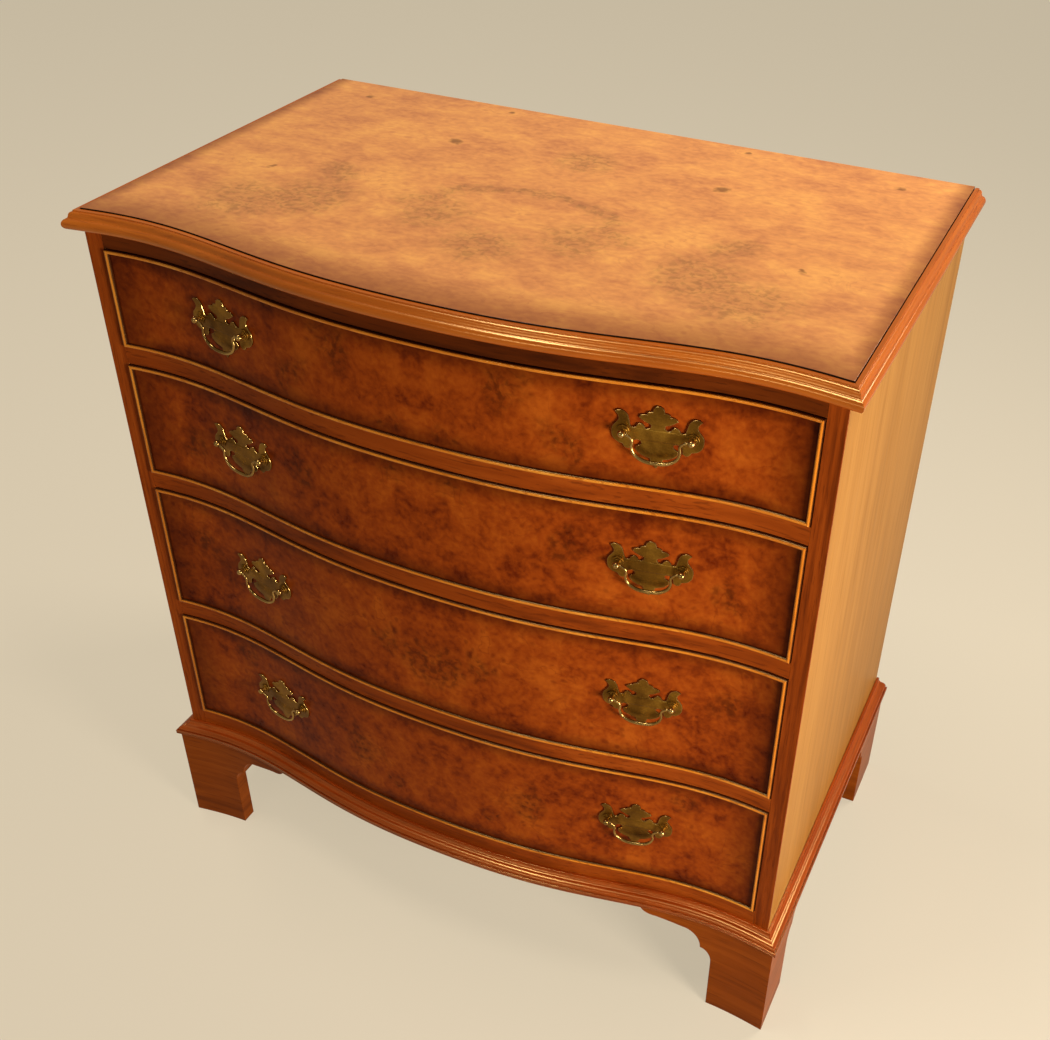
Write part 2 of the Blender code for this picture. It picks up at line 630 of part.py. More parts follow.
def build_drawer_box(name, side_low, side_high, carrier):
    """Two dovetailed sides, a housed back and a bottom slid into grooves."""
    outline = [(TAIL_ROOT, side_low)]
    half_tip = TAIL_WIDTH / 2 + TAIL_FLARE
    for centre in tail_centres(side_low, side_high):
        outline += [(TAIL_ROOT, centre - TAIL_WIDTH / 2), (TAIL_TIP, centre - half_tip),
                    (TAIL_TIP, centre + half_tip), (TAIL_ROOT, centre + TAIL_WIDTH / 2)]
    outline += [(TAIL_ROOT, side_high), (BOX_END, side_high), (BOX_END, side_low)]

    bottom = side_low + DRAWER_BOTTOM_RISE
    bottom_top = bottom + DRAWER_BOTTOM_THICKNESS
    back_far = BOX_END - DRAWER_BACK_INSET
    back_near = back_far - DRAWER_BACK_THICKNESS
    housing_low = bottom_top + GLUE_LINE + GROOVE_LAND
    for side, label in ((-1, "left"), (1, "right")):
        span = sorted((side * BOX_INNER, side * BOX_HALF))
        board = outline_solid(f"{name}_side_{label}", [outline], *span, SIDE_ELEVATION)
        clear = side * (BOX_INNER - PAST)
        groove = ((clear, TAIL_TIP - PAST, bottom - GLUE_LINE),
                  (side * (BOX_INNER + GROOVE_DEPTH), BOX_END + PAST, bottom_top + GLUE_LINE))
        housing = ((clear, back_near - GLUE_LINE, housing_low),
                   (side * (BOX_INNER + DRAWER_BACK_HOUSING), back_far + GLUE_LINE, side_high + PAST))
        combine(board, "DIFFERENCE", blocks(f"{name}_grooves_{label}", [groove, housing]))
        complete(board, LINING, carrier)

    back_half = BOX_INNER + DRAWER_BACK_HOUSING - GLUE_LINE
    back_span = ((-back_half, back_near, housing_low + GLUE_LINE),
                 (back_half, back_far, side_high - DRAWER_BACK_DROP))
    complete(blocks(f"{name}_back", [back_span]), LINING, carrier)

    half = BOX_INNER + GROOVE_DEPTH - GLUE_LINE
    panel = front_line(-half, half, DRAWER_FRONT_THICKNESS - GROOVE_DEPTH + GLUE_LINE)
    rear = BOX_END - DRAWER_BOTTOM_INSET
    panel += [(half, rear), (-half, rear)]
    complete(outline_solid(f"{name}_bottom", [panel], bottom, bottom_top), LINING, carrier)


def plate_curve(name):
    """Fretted handle plate, drawn flat about the middle of the line between its posts."""
    unit = POST_SPACING / PLATE_GRID
    right = [(x * unit, z * unit, handle) for x, z, handle in PLATE_HALF]
    left = [(-x, z, handle) for x, z, handle in right[-2:0:-1]]
    curve = flat_curve(name, PLATE_THICKNESS)
    curve.resolution_u = PLATE_FACETS
    spline = curve.splines.new("BEZIER")
    spline.bezier_points.add(len(right) + len(left) - 1)
    spline.use_cyclic_u = True
    for point, (x, z, handle) in zip(spline.bezier_points, right + left):
        point.co = (x, z, 0.0)
        point.handle_left_type = handle
        point.handle_right_type = handle
    return curve


def build_post(name, placement):
    """Turned post: collar, neck and ball, about its own Z axis."""
    meeting = -math.degrees(math.acos(POST_NECK_RADIUS / POST_BALL_RADIUS))
    ball = arc((0.0, POST_REACH), POST_BALL_RADIUS, POST_BALL_RADIUS, 90, meeting, NOSE_FACETS)
    foot = [(POST_NECK_RADIUS, POST_COLLAR_HEIGHT), (POST_COLLAR_RADIUS, POST_COLLAR_HEIGHT),
            (POST_COLLAR_RADIUS, -PLATE_THICKNESS / 2), (0.0, -PLATE_THICKNESS / 2)]
    profile = [(0.0, POST_REACH + POST_BALL_RADIUS), *ball[1:], *foot]
    mesh = bpy.data.meshes.new(name)
    edges = [(place, place + 1) for place in range(len(profile) - 1)]
    mesh.from_pydata([(radius, 0.0, height) for radius, height in profile], edges, [])
    post = add_object(name, mesh, placement)
    turning = post.modifiers.new("turning", "SCREW")
    turning.steps = POST_FACETS
    turning.render_steps = POST_FACETS
    turning.use_merge_vertices = True
    turning.merge_threshold = WELD_DISTANCE
    return post


def build_socket(name, side, placement):
    """Cutter for the blind hole that the bail's pin turns in, from the post's inner side."""
    near = POST_SPACING / 2 - POST_BALL_RADIUS - PIVOT_CLEARANCE
    far = POST_SPACING / 2 - POST_BALL_RADIUS + PIN_LENGTH + PIVOT_CLEARANCE
    built = bmesh.new()
    radius = PIN_RADIUS + PIVOT_CLEARANCE
    lying = Matrix.Translation((side * (near + far) / 2, 0.0, 0.0)) @ Matrix.Rotation(math.pi / 2, 4, "Y")
    bmesh.ops.create_cone(built, cap_ends=True, segments=POST_FACETS, radius1=radius, radius2=radius,
                          depth=far - near, matrix=lying)
    mesh = bpy.data.meshes.new(name)
    built.to_mesh(mesh)
    built.free()
    return add_object(name, mesh, placement)


def bail_curve(name):
    """Swan-neck bail, drawn hanging from its axis: pins at the top, grip at the bottom."""
    pin_start = POST_SPACING / 2 - POST_BALL_RADIUS
    half = [
        (pin_start + PIN_LENGTH, 0.0, PIN_RADIUS, SHARP),
        (pin_start - PIN_RADIUS, 0.0, PIN_RADIUS, SHARP),
        (BAIL_HALF_WIDTH, -BAIL_SHOULDER_DROP, PIN_RADIUS, ROUND),
        (BAIL_HALF_WIDTH, BAIL_HIP_RISE - BAIL_DROP, PIN_RADIUS, ROUND),
        (BAIL_HALF_WIDTH - BAIL_TURN_INSET, BAIL_TURN_RISE - BAIL_DROP, (PIN_RADIUS + BAIL_GRIP_RADIUS) / 2,
         ROUND),
    ]
    grip = [(0.0, -BAIL_DROP, BAIL_GRIP_RADIUS, ROUND)]
    points = half + grip + [(-x, z, radius, handle) for x, z, radius, handle in half[::-1]]
    curve = bpy.data.curves.new(name, "CURVE")
    curve.dimensions = "3D"
    curve.bevel_depth = 1.0
    curve.bevel_resolution = BAIL_RING
    curve.resolution_u = BAIL_FACETS
    curve.use_fill_caps = True
    spline = curve.splines.new("BEZIER")
    spline.bezier_points.add(len(points) - 1)
    for point, (x, z, radius, handle) in zip(spline.bezier_points, points):
        point.co = (x, 0.0, z)
        point.radius = radius
        point.handle_left_type = handle
        point.handle_right_type = handle
    return curve


def handle_placement(side, level):
    """Frame of a handle: on the front, turned to lie flat against it, clear by a glue line."""
    middle = side * HANDLE_OFFSET
    turn = serpentine_turn(middle)
    reach = max(across for across, up, handle in PLATE_HALF) * POST_SPACING / PLATE_GRID
    behind = front_line(middle - reach, middle + reach)
    lifts = [(x - middle) * math.sin(turn) - (y - front_y(middle)) * math.cos(turn) for x, y in behind]
    seat = Matrix.Translation((middle, front_y(middle), level))
    lifted = Matrix.Translation((0.0, -max(lifts) - GLUE_LINE, 0.0))
    return seat @ Matrix.Rotation(turn, 4, "Z") @ lifted


def build_handle(name, side, level, carrier):
    """A plate with its two posts, and the bail that swings between them."""
    frame = handle_placement(side, level)
    upright = Matrix.Rotation(math.pi / 2, 4, "X")
    plate = mesh_of_curve(f"{name}_plate", plate_curve(name))
    plate.matrix_world = frame @ Matrix.Translation((0.0, -PLATE_THICKNESS / 2, 0.0)) @ upright
    axis = frame @ Matrix.Translation((0.0, -PLATE_THICKNESS - POST_REACH, 0.0))
    for end, label in ((-1, "left"), (1, "right")):
        root = frame @ Matrix.Translation((end * POST_SPACING / 2, -PLATE_THICKNESS, 0.0)) @ upright
        combine(plate, "UNION", build_post(f"{name}_post_{label}", root))
    for end, label in ((-1, "left"), (1, "right")):
        combine(plate, "DIFFERENCE", build_socket(f"{name}_socket_{label}", end, axis))
    complete(plate, BRASS, carrier)

    bail = mesh_of_curve(f"{name}_bail", bail_curve(name))
    bail.matrix_world = axis
    bail.data.shade_smooth()
    complete(bail, BRASS, carrier)


def build_drawer(number, bottom, top):
    """A drawer with its two handles, hung on an empty at the middle of its opening."""
    name = f"drawer_{number}"
    middle = (bottom + top) / 2
    carrier = bpy.data.objects.new(f"{name}_slide", None)
    carrier.matrix_world = Matrix.Translation((0.0, FRONT, middle))
    PARTS.objects.link(carrier)
    side_low = bottom + GLUE_LINE
    side_high = top - DRAWER_TOP_CLEARANCE
    build_drawer_front(name, bottom + DRAWER_REVEAL, top - DRAWER_REVEAL, side_low, side_high, carrier)
    build_bead(name, bottom + DRAWER_REVEAL, top - DRAWER_REVEAL, carrier)
    build_drawer_box(name, side_low, side_high, carrier)
    for side, label in ((-1, "left"), (1, "right")):
        build_handle(f"{name}_handle_{label}", side, middle + HANDLE_RISE, carrier)


build_top()
build_case()
build_base()
for number, (bottom, top) in enumerate(OPENINGS, start=1):
    build_drawer(number, bottom, top)
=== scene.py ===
# %% [markdown]
# # Dressing a serpentine chest of drawers
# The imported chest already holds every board, joint and hinge in its right place. In this lesson it gets
# its looks: burr veneer, moulded edges, cock beads, bracket feet, brass handles and light. The packed
# model is loaded first and is never moved. Each new piece is made in the same metres and rides on a body.

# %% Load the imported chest
import functools
import json
import math

import bmesh
import bpy
from mathutils import Matrix, Vector


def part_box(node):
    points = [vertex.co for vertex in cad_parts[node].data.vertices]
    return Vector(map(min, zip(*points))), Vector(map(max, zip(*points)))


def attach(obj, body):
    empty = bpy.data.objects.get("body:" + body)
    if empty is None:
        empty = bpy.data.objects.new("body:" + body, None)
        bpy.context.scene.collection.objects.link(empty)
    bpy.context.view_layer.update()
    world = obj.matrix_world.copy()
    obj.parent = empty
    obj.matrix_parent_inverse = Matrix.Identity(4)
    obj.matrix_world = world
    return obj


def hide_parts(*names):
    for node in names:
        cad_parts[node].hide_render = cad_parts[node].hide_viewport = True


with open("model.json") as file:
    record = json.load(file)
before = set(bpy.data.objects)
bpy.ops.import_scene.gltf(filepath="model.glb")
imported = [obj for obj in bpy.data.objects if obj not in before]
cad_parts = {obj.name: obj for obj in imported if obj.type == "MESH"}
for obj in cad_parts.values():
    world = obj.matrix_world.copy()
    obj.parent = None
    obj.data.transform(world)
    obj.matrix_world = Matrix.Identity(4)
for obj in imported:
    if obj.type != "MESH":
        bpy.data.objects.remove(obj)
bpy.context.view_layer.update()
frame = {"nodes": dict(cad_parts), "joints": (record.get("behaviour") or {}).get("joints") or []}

# %% [markdown]
# ## Sizes that everything shares
# A maker marks out once and works to those lines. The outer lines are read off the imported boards, so
# a change in the chest moves the dressing with it.

# %% Read the main lines off the frame
SIDE_LOW, SIDE_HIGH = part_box("side_right")
TOP_LOW, TOP_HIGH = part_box("top_panel")
BASE_LOW, BASE_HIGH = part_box("base_moulding_right")
HALF_WIDTH = SIDE_HIGH.x
FRONT = SIDE_LOW.y
BACK = SIDE_HIGH.y
SIDE_THICKNESS = 0.017
OPENING_HALF = HALF_WIDTH - SIDE_THICKNESS
GLUE_LINE = 0.0003
ENDS = (-1, 1)
LABELS = ("left", "right")
SIDES = tuple(zip(ENDS, LABELS))
DRAWERS = (1, 2, 3, 4)
MILLIMETRES = 1000.0
print(f"case {2 * HALF_WIDTH:.3f} m wide, front corners at y {FRONT:.4f}, back at y {BACK:.4f}")

# %% [markdown]
# ## The serpentine line
# Seen from above, the front swells in the middle and draws in near each end. Two cosine waves give that
# line: a main wave and a weaker one of half its length, which flattens the bow. A formula is better than a
# hand-drawn curve here, because veneer, beads, rails and mouldings all have to follow the very same line.

# %% Write the line as a formula
SERPENTINE_DEPTH = 0.0174
SERPENTINE_FLATTENING = 0.0025
HOLLOW_OFFSET = 0.308


def serpentine(x):
    """Depth of the line at x, behind its own mean line."""
    angle = math.pi * x / HOLLOW_OFFSET
    return SERPENTINE_FLATTENING * math.cos(2 * angle) - SERPENTINE_DEPTH * math.cos(angle)


def serpentine_slope(x):
    """How fast the line goes back at x."""
    angle = math.pi * x / HOLLOW_OFFSET
    wave = SERPENTINE_DEPTH * math.sin(angle) - 2 * SERPENTINE_FLATTENING * math.sin(2 * angle)
    return wave * math.pi / HOLLOW_OFFSET


CORNER_DEPTH = serpentine(HALF_WIDTH)
CORNER_SLOPE = serpentine_slope(HALF_WIDTH)


def front_y(x):
    """Where the front is at x. Past the corners it runs straight on."""
    inside = max(-HALF_WIDTH, min(HALF_WIDTH, x))
    return FRONT + serpentine(inside) - CORNER_DEPTH + CORNER_SLOPE * abs(x - inside)


print(f"the bow stands {MILLIMETRES * (FRONT - front_y(0)):.1f} mm ahead of the corners")

# %% [markdown]
# ## The camera
# The chest is seen from in front, a little to its right and well above. The place, the turn and the lens
# were found by lining up the chest's straight edges with the picture. The picture's centre isn't the
# lens's axis, so the camera has a small shift instead of an extra turn, which would bend the uprights.

# %% Set the camera
PHOTO_WIDTH = 1050
PHOTO_HEIGHT = 1040
AXIS_PIXEL = (588.39, 575.71)
FOCAL_PIXELS = 1320.13
SENSOR_WIDTH = 36.0
CAMERA_PLACE = Vector((0.5455, -1.0802, 1.2823))
CAMERA_AZIMUTH = math.radians(23.8714)
CAMERA_ELEVATION = math.radians(37.3217)
CAMERA_ROLL = math.radians(1.2896)


def put(name, data):
    """A new object in the scene."""
    made = bpy.data.objects.new(name, data)
    bpy.context.scene.collection.objects.link(made)
    return made


def set_camera():
    lens = bpy.data.cameras.new("camera")
    lens.sensor_width = SENSOR_WIDTH
    lens.lens = SENSOR_WIDTH * FOCAL_PIXELS / PHOTO_WIDTH
    lens.shift_x = (PHOTO_WIDTH / 2 - AXIS_PIXEL[0]) / PHOTO_WIDTH
    lens.shift_y = (AXIS_PIXEL[1] - PHOTO_HEIGHT / 2) / PHOTO_WIDTH
    turn = Matrix.Rotation(CAMERA_AZIMUTH, 4, "Z")
    tilt = Matrix.Rotation(math.pi / 2 - CAMERA_ELEVATION, 4, "X")
    roll = Matrix.Rotation(CAMERA_ROLL, 4, "Z")
    camera = put("camera", lens)
    camera.matrix_world = Matrix.Translation(CAMERA_PLACE) @ turn @ tilt @ roll
    bpy.context.scene.camera = camera
    return lens


LENS = set_camera()
print(f"lens {LENS.lens:.1f} mm, shift {LENS.shift_x:.3f}, {LENS.shift_y:.3f}")

# %% [markdown]
# ## Nodes written as sums
# A shader is a net of small nodes, which is slow to read as a list of links. Here a wire is a socket that
# can stand in a Python sum: `1 - mask` adds the Math node by itself.

# %% A wire
class Wire:
    """An output socket that can stand in a Python sum. Each sum adds a Math node to its tree."""

    def __init__(self, graph, socket):
        self.graph = graph
        self.socket = socket

    def maths(self, operation, first, second=0.0):
        return self.graph.node("ShaderNodeMath", {"operation": operation}, {0: first, 1: second})

    def __add__(self, other):
        return self.maths("ADD", self, other)

    def __radd__(self, other):
        return self.maths("ADD", other, self)

    def __sub__(self, other):
        return self.maths("SUBTRACT", self, other)

    def __rsub__(self, other):
        return self.maths("SUBTRACT", other, self)

    def __mul__(self, other):
        return self.maths("MULTIPLY", self, other)

    def __rmul__(self, other):
        return self.maths("MULTIPLY", other, self)

    def __truediv__(self, other):
        return self.maths("DIVIDE", self, other)

    def __rtruediv__(self, other):
        return self.maths("DIVIDE", other, self)

    def __abs__(self):
        return self.maths("ABSOLUTE", self)

    def cosine(self):
        return self.maths("COSINE", self)

    def least(self, other):
        return self.maths("MINIMUM", self, other)

    def most(self, other):
        return self.maths("MAXIMUM", self, other)


print("wires are ready")

# %% [markdown]
# ## A graph
# A graph holds one node tree: that of a material, of the world or of Geometry Nodes. Any node that isn't a
# sum comes from one method, which takes the node's type, then its settings, then what goes into its
# sockets. More methods name what is used most: a ramp of tones, a blend of two colours, a smooth step and
# the three numbers of a vector.

# %% A graph
class Graph:
    """A node tree that is written as Python."""

    def __init__(self, tree):
        self.tree = tree

    def node(self, kind, settings=None, inputs=None, output=0):
        """Adds a node: its type, its settings, then the values or wires of its sockets."""
        made = self.tree.nodes.new(kind)
        for name, value in (settings or {}).items():
            if name == "stops":
                self.set_stops(made.color_ramp, value)
            else:
                setattr(made, name, value)
        for place, value in (inputs or {}).items():
            if isinstance(value, Wire):
                self.tree.links.new(value.socket, made.inputs[place])
            else:
                made.inputs[place].default_value = value
        return Wire(self, made.outputs[output]) if made.outputs else None

    def set_stops(self, ramp, stops):
        while len(ramp.elements) < len(stops):
            ramp.elements.new(1.0)
        for element, (position, colour) in zip(ramp.elements, stops):
            element.position = position
            element.color = (*colour, 1.0)

    def ramp(self, value, spread, tones):
        """Turns a value into a colour, by tones that are spread over its range."""
        return self.node("ShaderNodeValToRGB", {"stops": list(zip(spread, tones))}, {0: value})

    def blend(self, share, first, second, how="MIX"):
        """Mixes two colours by a share from 0 to 1. They are the node's sockets 6 and 7."""
        settings = {"data_type": "RGBA", "blend_type": how, "clamp_factor": True}
        colours = {6: first, 7: second}
        paints = {place: c if isinstance(c, Wire) else (*c, 1.0) for place, c in colours.items()}
        return self.node("ShaderNodeMix", settings, {0: share, **paints}, output=2)

    def step(self, value, low, high):
        """Goes smoothly from 0 at low to 1 at high."""
        settings = {"interpolation_type": "SMOOTHSTEP"}
        return self.node("ShaderNodeMapRange", settings, {0: value, 1: low, 2: high})

    def split(self, vector):
        """The three numbers of a vector."""
        return [self.node("ShaderNodeSeparateXYZ", None, {0: vector}, axis) for axis in "XYZ"]


def bare_tree(owner):
    """The emptied node tree of a material or a world."""
    owner.use_nodes = True
    owner.node_tree.nodes.clear()
    return owner.node_tree


print("graphs are ready")

# %% [markdown]
# ## Floor and sky
# The chest stands on a plain pale floor. The world adds a weak, even fill, but the camera sees a plain pale
# tone in its place, and shiny surfaces a share of that. Some of the floor's tone is fixed in the same way,
# so that the floor stays pale far from the lamps and still takes the chest's shadow. What the floor throws
# back on the chest is darker, as from a carpet.

# %% Lay the floor
FLOOR_HALF = 9.0
FLOOR_COLOUR = (0.60, 0.48, 0.33)
FLOOR_BOUNCE = (0.26, 0.18, 0.10)
FLOOR_PALE = (0.95, 0.82, 0.60)
FLOOR_ROUGHNESS = 0.9
FLOOR_FIXED_SHARE = 0.55
FLOOR_SHINE = 0.5


def plainly_seen(graph, shine):
    """1 for a ray of the camera, a share of that for one of a shiny surface, and 0 for any other."""
    rays = [graph.node("ShaderNodeLightPath", output=f"Is {ray} Ray") for ray in
            ("Camera", "Glossy", "Transmission")]
    return (rays[0] + shine * rays[1] + rays[2]).least(1.0)


def floor_paint():
    paint = bpy.data.materials.new("floor_paint")
    graph = Graph(bare_tree(paint))
    seen = plainly_seen(graph, FLOOR_SHINE)
    colour = graph.blend(seen, FLOOR_BOUNCE, FLOOR_COLOUR)
    lit = graph.node("ShaderNodeBsdfPrincipled", None, {"Base Color": colour, "Roughness": FLOOR_ROUGHNESS})
    fixed = graph.node("ShaderNodeEmission", None, {"Color": (*FLOOR_PALE, 1.0)})
    mixed = graph.node("ShaderNodeMixShader", None, {0: FLOOR_FIXED_SHARE * seen, 1: lit, 2: fixed})
    graph.node("ShaderNodeOutputMaterial", None, {"Surface": mixed})
    return paint


def lay_floor():
    built = bmesh.new()
    bmesh.ops.create_grid(built, x_segments=1, y_segments=1, size=FLOOR_HALF)
    mesh = bpy.data.meshes.new("floor")
    built.to_mesh(mesh)
    built.free()
    mesh.materials.append(floor_paint())
    floor = put("floor", mesh)


lay_floor()
print("laid a floor", 2 * FLOOR_HALF, "m wide")

# %% Set the sky
SKY_COLOUR = (0.66, 0.60, 0.49)
SKY_FILL = 0.04
SKY_SHINE = 0.35


def set_sky():
    world = bpy.data.worlds.new("studio")
    graph = Graph(bare_tree(world))
    fill = graph.node("ShaderNodeBackground", None, {"Strength": SKY_FILL})
    pale = graph.node("ShaderNodeBackground", None, {"Color": (*SKY_COLOUR, 1.0)})
    sky = graph.node("ShaderNodeMixShader", None, {0: plainly_seen(graph, SKY_SHINE), 1: fill, 2: pale})
    graph.node("ShaderNodeOutputWorld", None, {"Surface": sky})
    bpy.context.scene.world = world


set_sky()
print("the sky fills in with a strength of", SKY_FILL)

# %% [markdown]
# ## Lamps
# A long strip under the ceiling lights the top and its edge. A lamp behind on the right lets the top fade
# towards the left, and a lamp in front on the right does the same for the drawers. A weak, wide one far in
# front draws highlights along the right half of beads and mouldings. One strong lamp would be simpler, but
# it would leave the front flat and its beads without a highlight.

# %% Hang the lamps
LAMPS = {
    "ceiling_lamp": {"place": (-0.9, -0.36, 4.0), "width": 1.8, "height": 0.4, "power": 64.0},
    "top_lamp": {"place": (0.9, 0.9, 1.9), "width": 0.6, "height": 0.6, "power": 22.0},
    "front_lamp": {"place": (1.33, -0.68, 0.65), "width": 0.4, "height": 0.4, "power": 21.0},
    "window_lamp": {"place": (-0.3, -2.7, 1.2), "width": 1.0, "height": 0.3, "power": 7.0},
}
LAMP_AIM = Vector((0.0, 0.0, 0.80))


def hang_lamp(name, place, width, height, power):
    light = bpy.data.lights.new(name, "AREA")
    light.shape = "RECTANGLE"
    light.size = width
    light.size_y = height
    light.energy = power
    turn = (LAMP_AIM - Vector(place)).to_track_quat("-Z", "Y")
    put(name, light).matrix_world = Matrix.Translation(place) @ turn.to_matrix().to_4x4()


for name, lamp in LAMPS.items():
    hang_lamp(name, **lamp)
bpy.context.scene.view_settings.view_transform = "Standard"
print("hung", len(LAMPS), "lamps")

# %% [markdown]
# ## A finish
# A finish is one material: a colour that changes over the surface, how dull it is, and a little relief.
# Each reads the piece's own Object coordinates, which are metres on the chest, so the pattern has its true
# size and stays where it is when a drawer slides. A picture of wood would be quicker, but it would repeat
# and blur.

# %% A graph that ends in a material
GRAIN_SQUEEZE = 0.05
NOISE_MEAN = 0.5
SOFT = 2.0
PLAIN = 3.0
FINE = 4.0
SPOT_CORE = 0.3


class Finish(Graph):
    """A material that is written as sums, on Object coordinates in metres."""

    def __init__(self, name):
        self.material = bpy.data.materials.new(name)
        super().__init__(bare_tree(self.material))
        self.place = self.node("ShaderNodeTexCoord", output="Object")
        self.x, self.y, self.z = self.split(self.place)

    def vector(self, x, y, z):
        return self.node("ShaderNodeCombineXYZ", None, {0: x, 1: y, 2: z})

    def noise(self, where, scale, detail=PLAIN, distortion=0.0, output=0):
        inputs = {"Vector": where, "Scale": scale, "Detail": detail, "Distortion": distortion}
        return self.node("ShaderNodeTexNoise", None, inputs, output)

    def stretched(self, where, stretch):
        return self.node("ShaderNodeMapping", None, {"Vector": where, "Scale": stretch})

    def vector_maths(self, operation, inputs, output=0):
        return self.node("ShaderNodeVectorMath", {"operation": operation}, inputs, output)

    def warped(self, where, scale, reach):
        """Bends a pattern: each point is moved by noise, up to about half the reach."""
        push = self.noise(where, scale, SOFT, output="Color")
        centred = self.vector_maths("SUBTRACT", {0: push, 1: [NOISE_MEAN] * 3})
        return self.vector_maths("MULTIPLY_ADD", {0: centred, 1: [reach] * 3, 2: where})

    def frayed(self, where, bends):
        """Bends a pattern by one noise after another, so that marks get ragged edges."""
        for scale, reach in bends:
            where = self.warped(where, scale, reach)
        return where

    def spots(self, where, marks):
        """1 in the middle of round spots and 0 outside them. Each mark is a centre and a radius."""
        covers = []
        for centre, radius in marks:
            gap = self.vector_maths("DISTANCE", {0: where, 1: centre}, "Value")
            covers.append(1.0 - self.step(gap, SPOT_CORE * radius, radius))
        return functools.reduce(Wire.most, covers)

    def board(self, along):
        """Coordinates squeezed along the grain, so that a round pattern becomes a long streak."""
        if along == "corner":
            return self.stretched(self.vector(self.x + self.y, 0.0, self.z), (GRAIN_SQUEEZE, 1.0, 1.0))
        if along == "bead":
            return self.stretched(self.vector(self.x + self.z, self.y, 0.0), (GRAIN_SQUEEZE, 1.0, 1.0))
        return self.stretched(self.place, [GRAIN_SQUEEZE if axis == along else 1.0 for axis in "xyz"])

    def polish(self, colour, roughness, relief, depth, constants):
        """Ends the graph in a shader. The constants are values that are the same all over."""
        normal = self.node("ShaderNodeBump", None, {"Distance": depth, "Height": relief})
        changing = {"Base Color": colour, "Roughness": roughness, "Normal": normal}
        shader = self.node("ShaderNodeBsdfPrincipled", None, {**changing, **constants})
        self.node("ShaderNodeOutputMaterial", None, {"Surface": shader})
        return self.material


print("finishes are ready")

# %% [markdown]
# ## Straight-grained woods
# Rails, stiles, mouldings, feet, sides and drawer linings are all plain boards: broad bands of colour,
# finer streaks and open pores like short dark dashes, all running along the board. One function makes every
# such wood from three tones, so what differs is only the tones, the gloss and the grain. The gloss of the
# mouldings has a warm tint, which stands in for warm light in their highlights.

# %% A recipe for plain wood
# A warm tint of the gloss: painted warm light in the highlights.
WARM_LIGHT_TINT = (1.0, 0.62, 0.20, 1.0)
SATIN = {"Specular IOR Level": 0.06}
WAXED = {"Specular IOR Level": 0.025}
GLOSS = {"Specular IOR Level": 1.00, "IOR": 1.65, "Specular Tint": WARM_LIGHT_TINT}
DRY = {"Specular IOR Level": 0.05}
STREAKS = 110.0
BANDS = 20.0
BAND_SHARE = 0.45
GRAIN_BEND = (6.0, 0.03)
GRAIN_SPREAD = (0.30, 0.50, 0.70)
PORES_PER_STREAK = 4.0
PORE_LEVELS = (0.55, 0.68)
PORE_DARKNESS = 0.60
PORE_DEPTH = 0.00004
PORE_DULLING = 0.12


def straight_grain(finish, along, tones, streaks):
    """Colour and pores of plain wood, from its three tones and the axis that its grain follows."""
    board = finish.board(along)
    bent = finish.warped(board, *GRAIN_BEND)
    bands = finish.noise(bent, BANDS, SOFT)
    streak = finish.noise(bent, streaks, FINE)
    pores = finish.noise(board, PORES_PER_STREAK * streaks, SOFT)
    colour = finish.ramp(BAND_SHARE * bands + (1.0 - BAND_SHARE) * streak, GRAIN_SPREAD, tones)
    return finish.blend(PORE_DARKNESS * finish.step(pores, *PORE_LEVELS), colour, tones[0]), pores


def plain_wood(name, along, tones, constants, roughness=0.30, streaks=STREAKS, open_grain=1.0):
    """A material of plain wood, whose pores are open by a share."""
    finish = Finish(name)
    colour, pores = straight_grain(finish, along, tones, streaks)
    dulled = roughness + PORE_DULLING * open_grain * (pores - NOISE_MEAN)
    return finish.polish(colour, dulled, pores, PORE_DEPTH * open_grain, constants)


print("plain wood has", len(GRAIN_SPREAD), "tones")

# %% [markdown]
# ## The woods of this chest
# Walnut shows in several tones: red-brown on rails and feet, brighter on the mouldings, and faded to honey on
# the sides. The top rail is painted nearly black, as painted shade under the top's edge. The inside is a
# plainer wood without polish. The pores of the mouldings are filled, as a polisher does, so they shine most.

# %% Mix the woods
FILLED = {"roughness": 0.22, "open_grain": 0.15}


def edge_woods(name, tones):
    """Woods of a moulding: one for its front run, and one for its side runs."""
    return {"front": plain_wood(f"{name}_edge_walnut", "x", tones, GLOSS, **FILLED),
            "side": plain_wood(f"{name}_edge_side_walnut", "y", tones, GLOSS, **FILLED)}


RAIL_TONES = ((0.150, 0.022, 0.002), (0.350, 0.057, 0.004), (0.480, 0.092, 0.008))
# Painted shade: the top rail's tones are darker, for the shade under the top's overhang.
SHADED_TOP_RAIL_TONES = ((0.060, 0.010, 0.001), (0.140, 0.024, 0.002), (0.210, 0.040, 0.004))
EDGE_TONES = ((0.420, 0.072, 0.003), (0.540, 0.108, 0.005), (0.640, 0.142, 0.009))
BASE_TONES = ((0.220, 0.024, 0.001), (0.340, 0.044, 0.003), (0.430, 0.068, 0.005))
FOOT_TONES = ((0.190, 0.033, 0.002), (0.345, 0.066, 0.004), (0.455, 0.098, 0.008))
SIDE_TONES = ((0.355, 0.138, 0.022), (0.455, 0.184, 0.032), (0.515, 0.222, 0.042))
LINING_TONES = ((0.250, 0.118, 0.036), (0.400, 0.208, 0.070), (0.500, 0.288, 0.112))

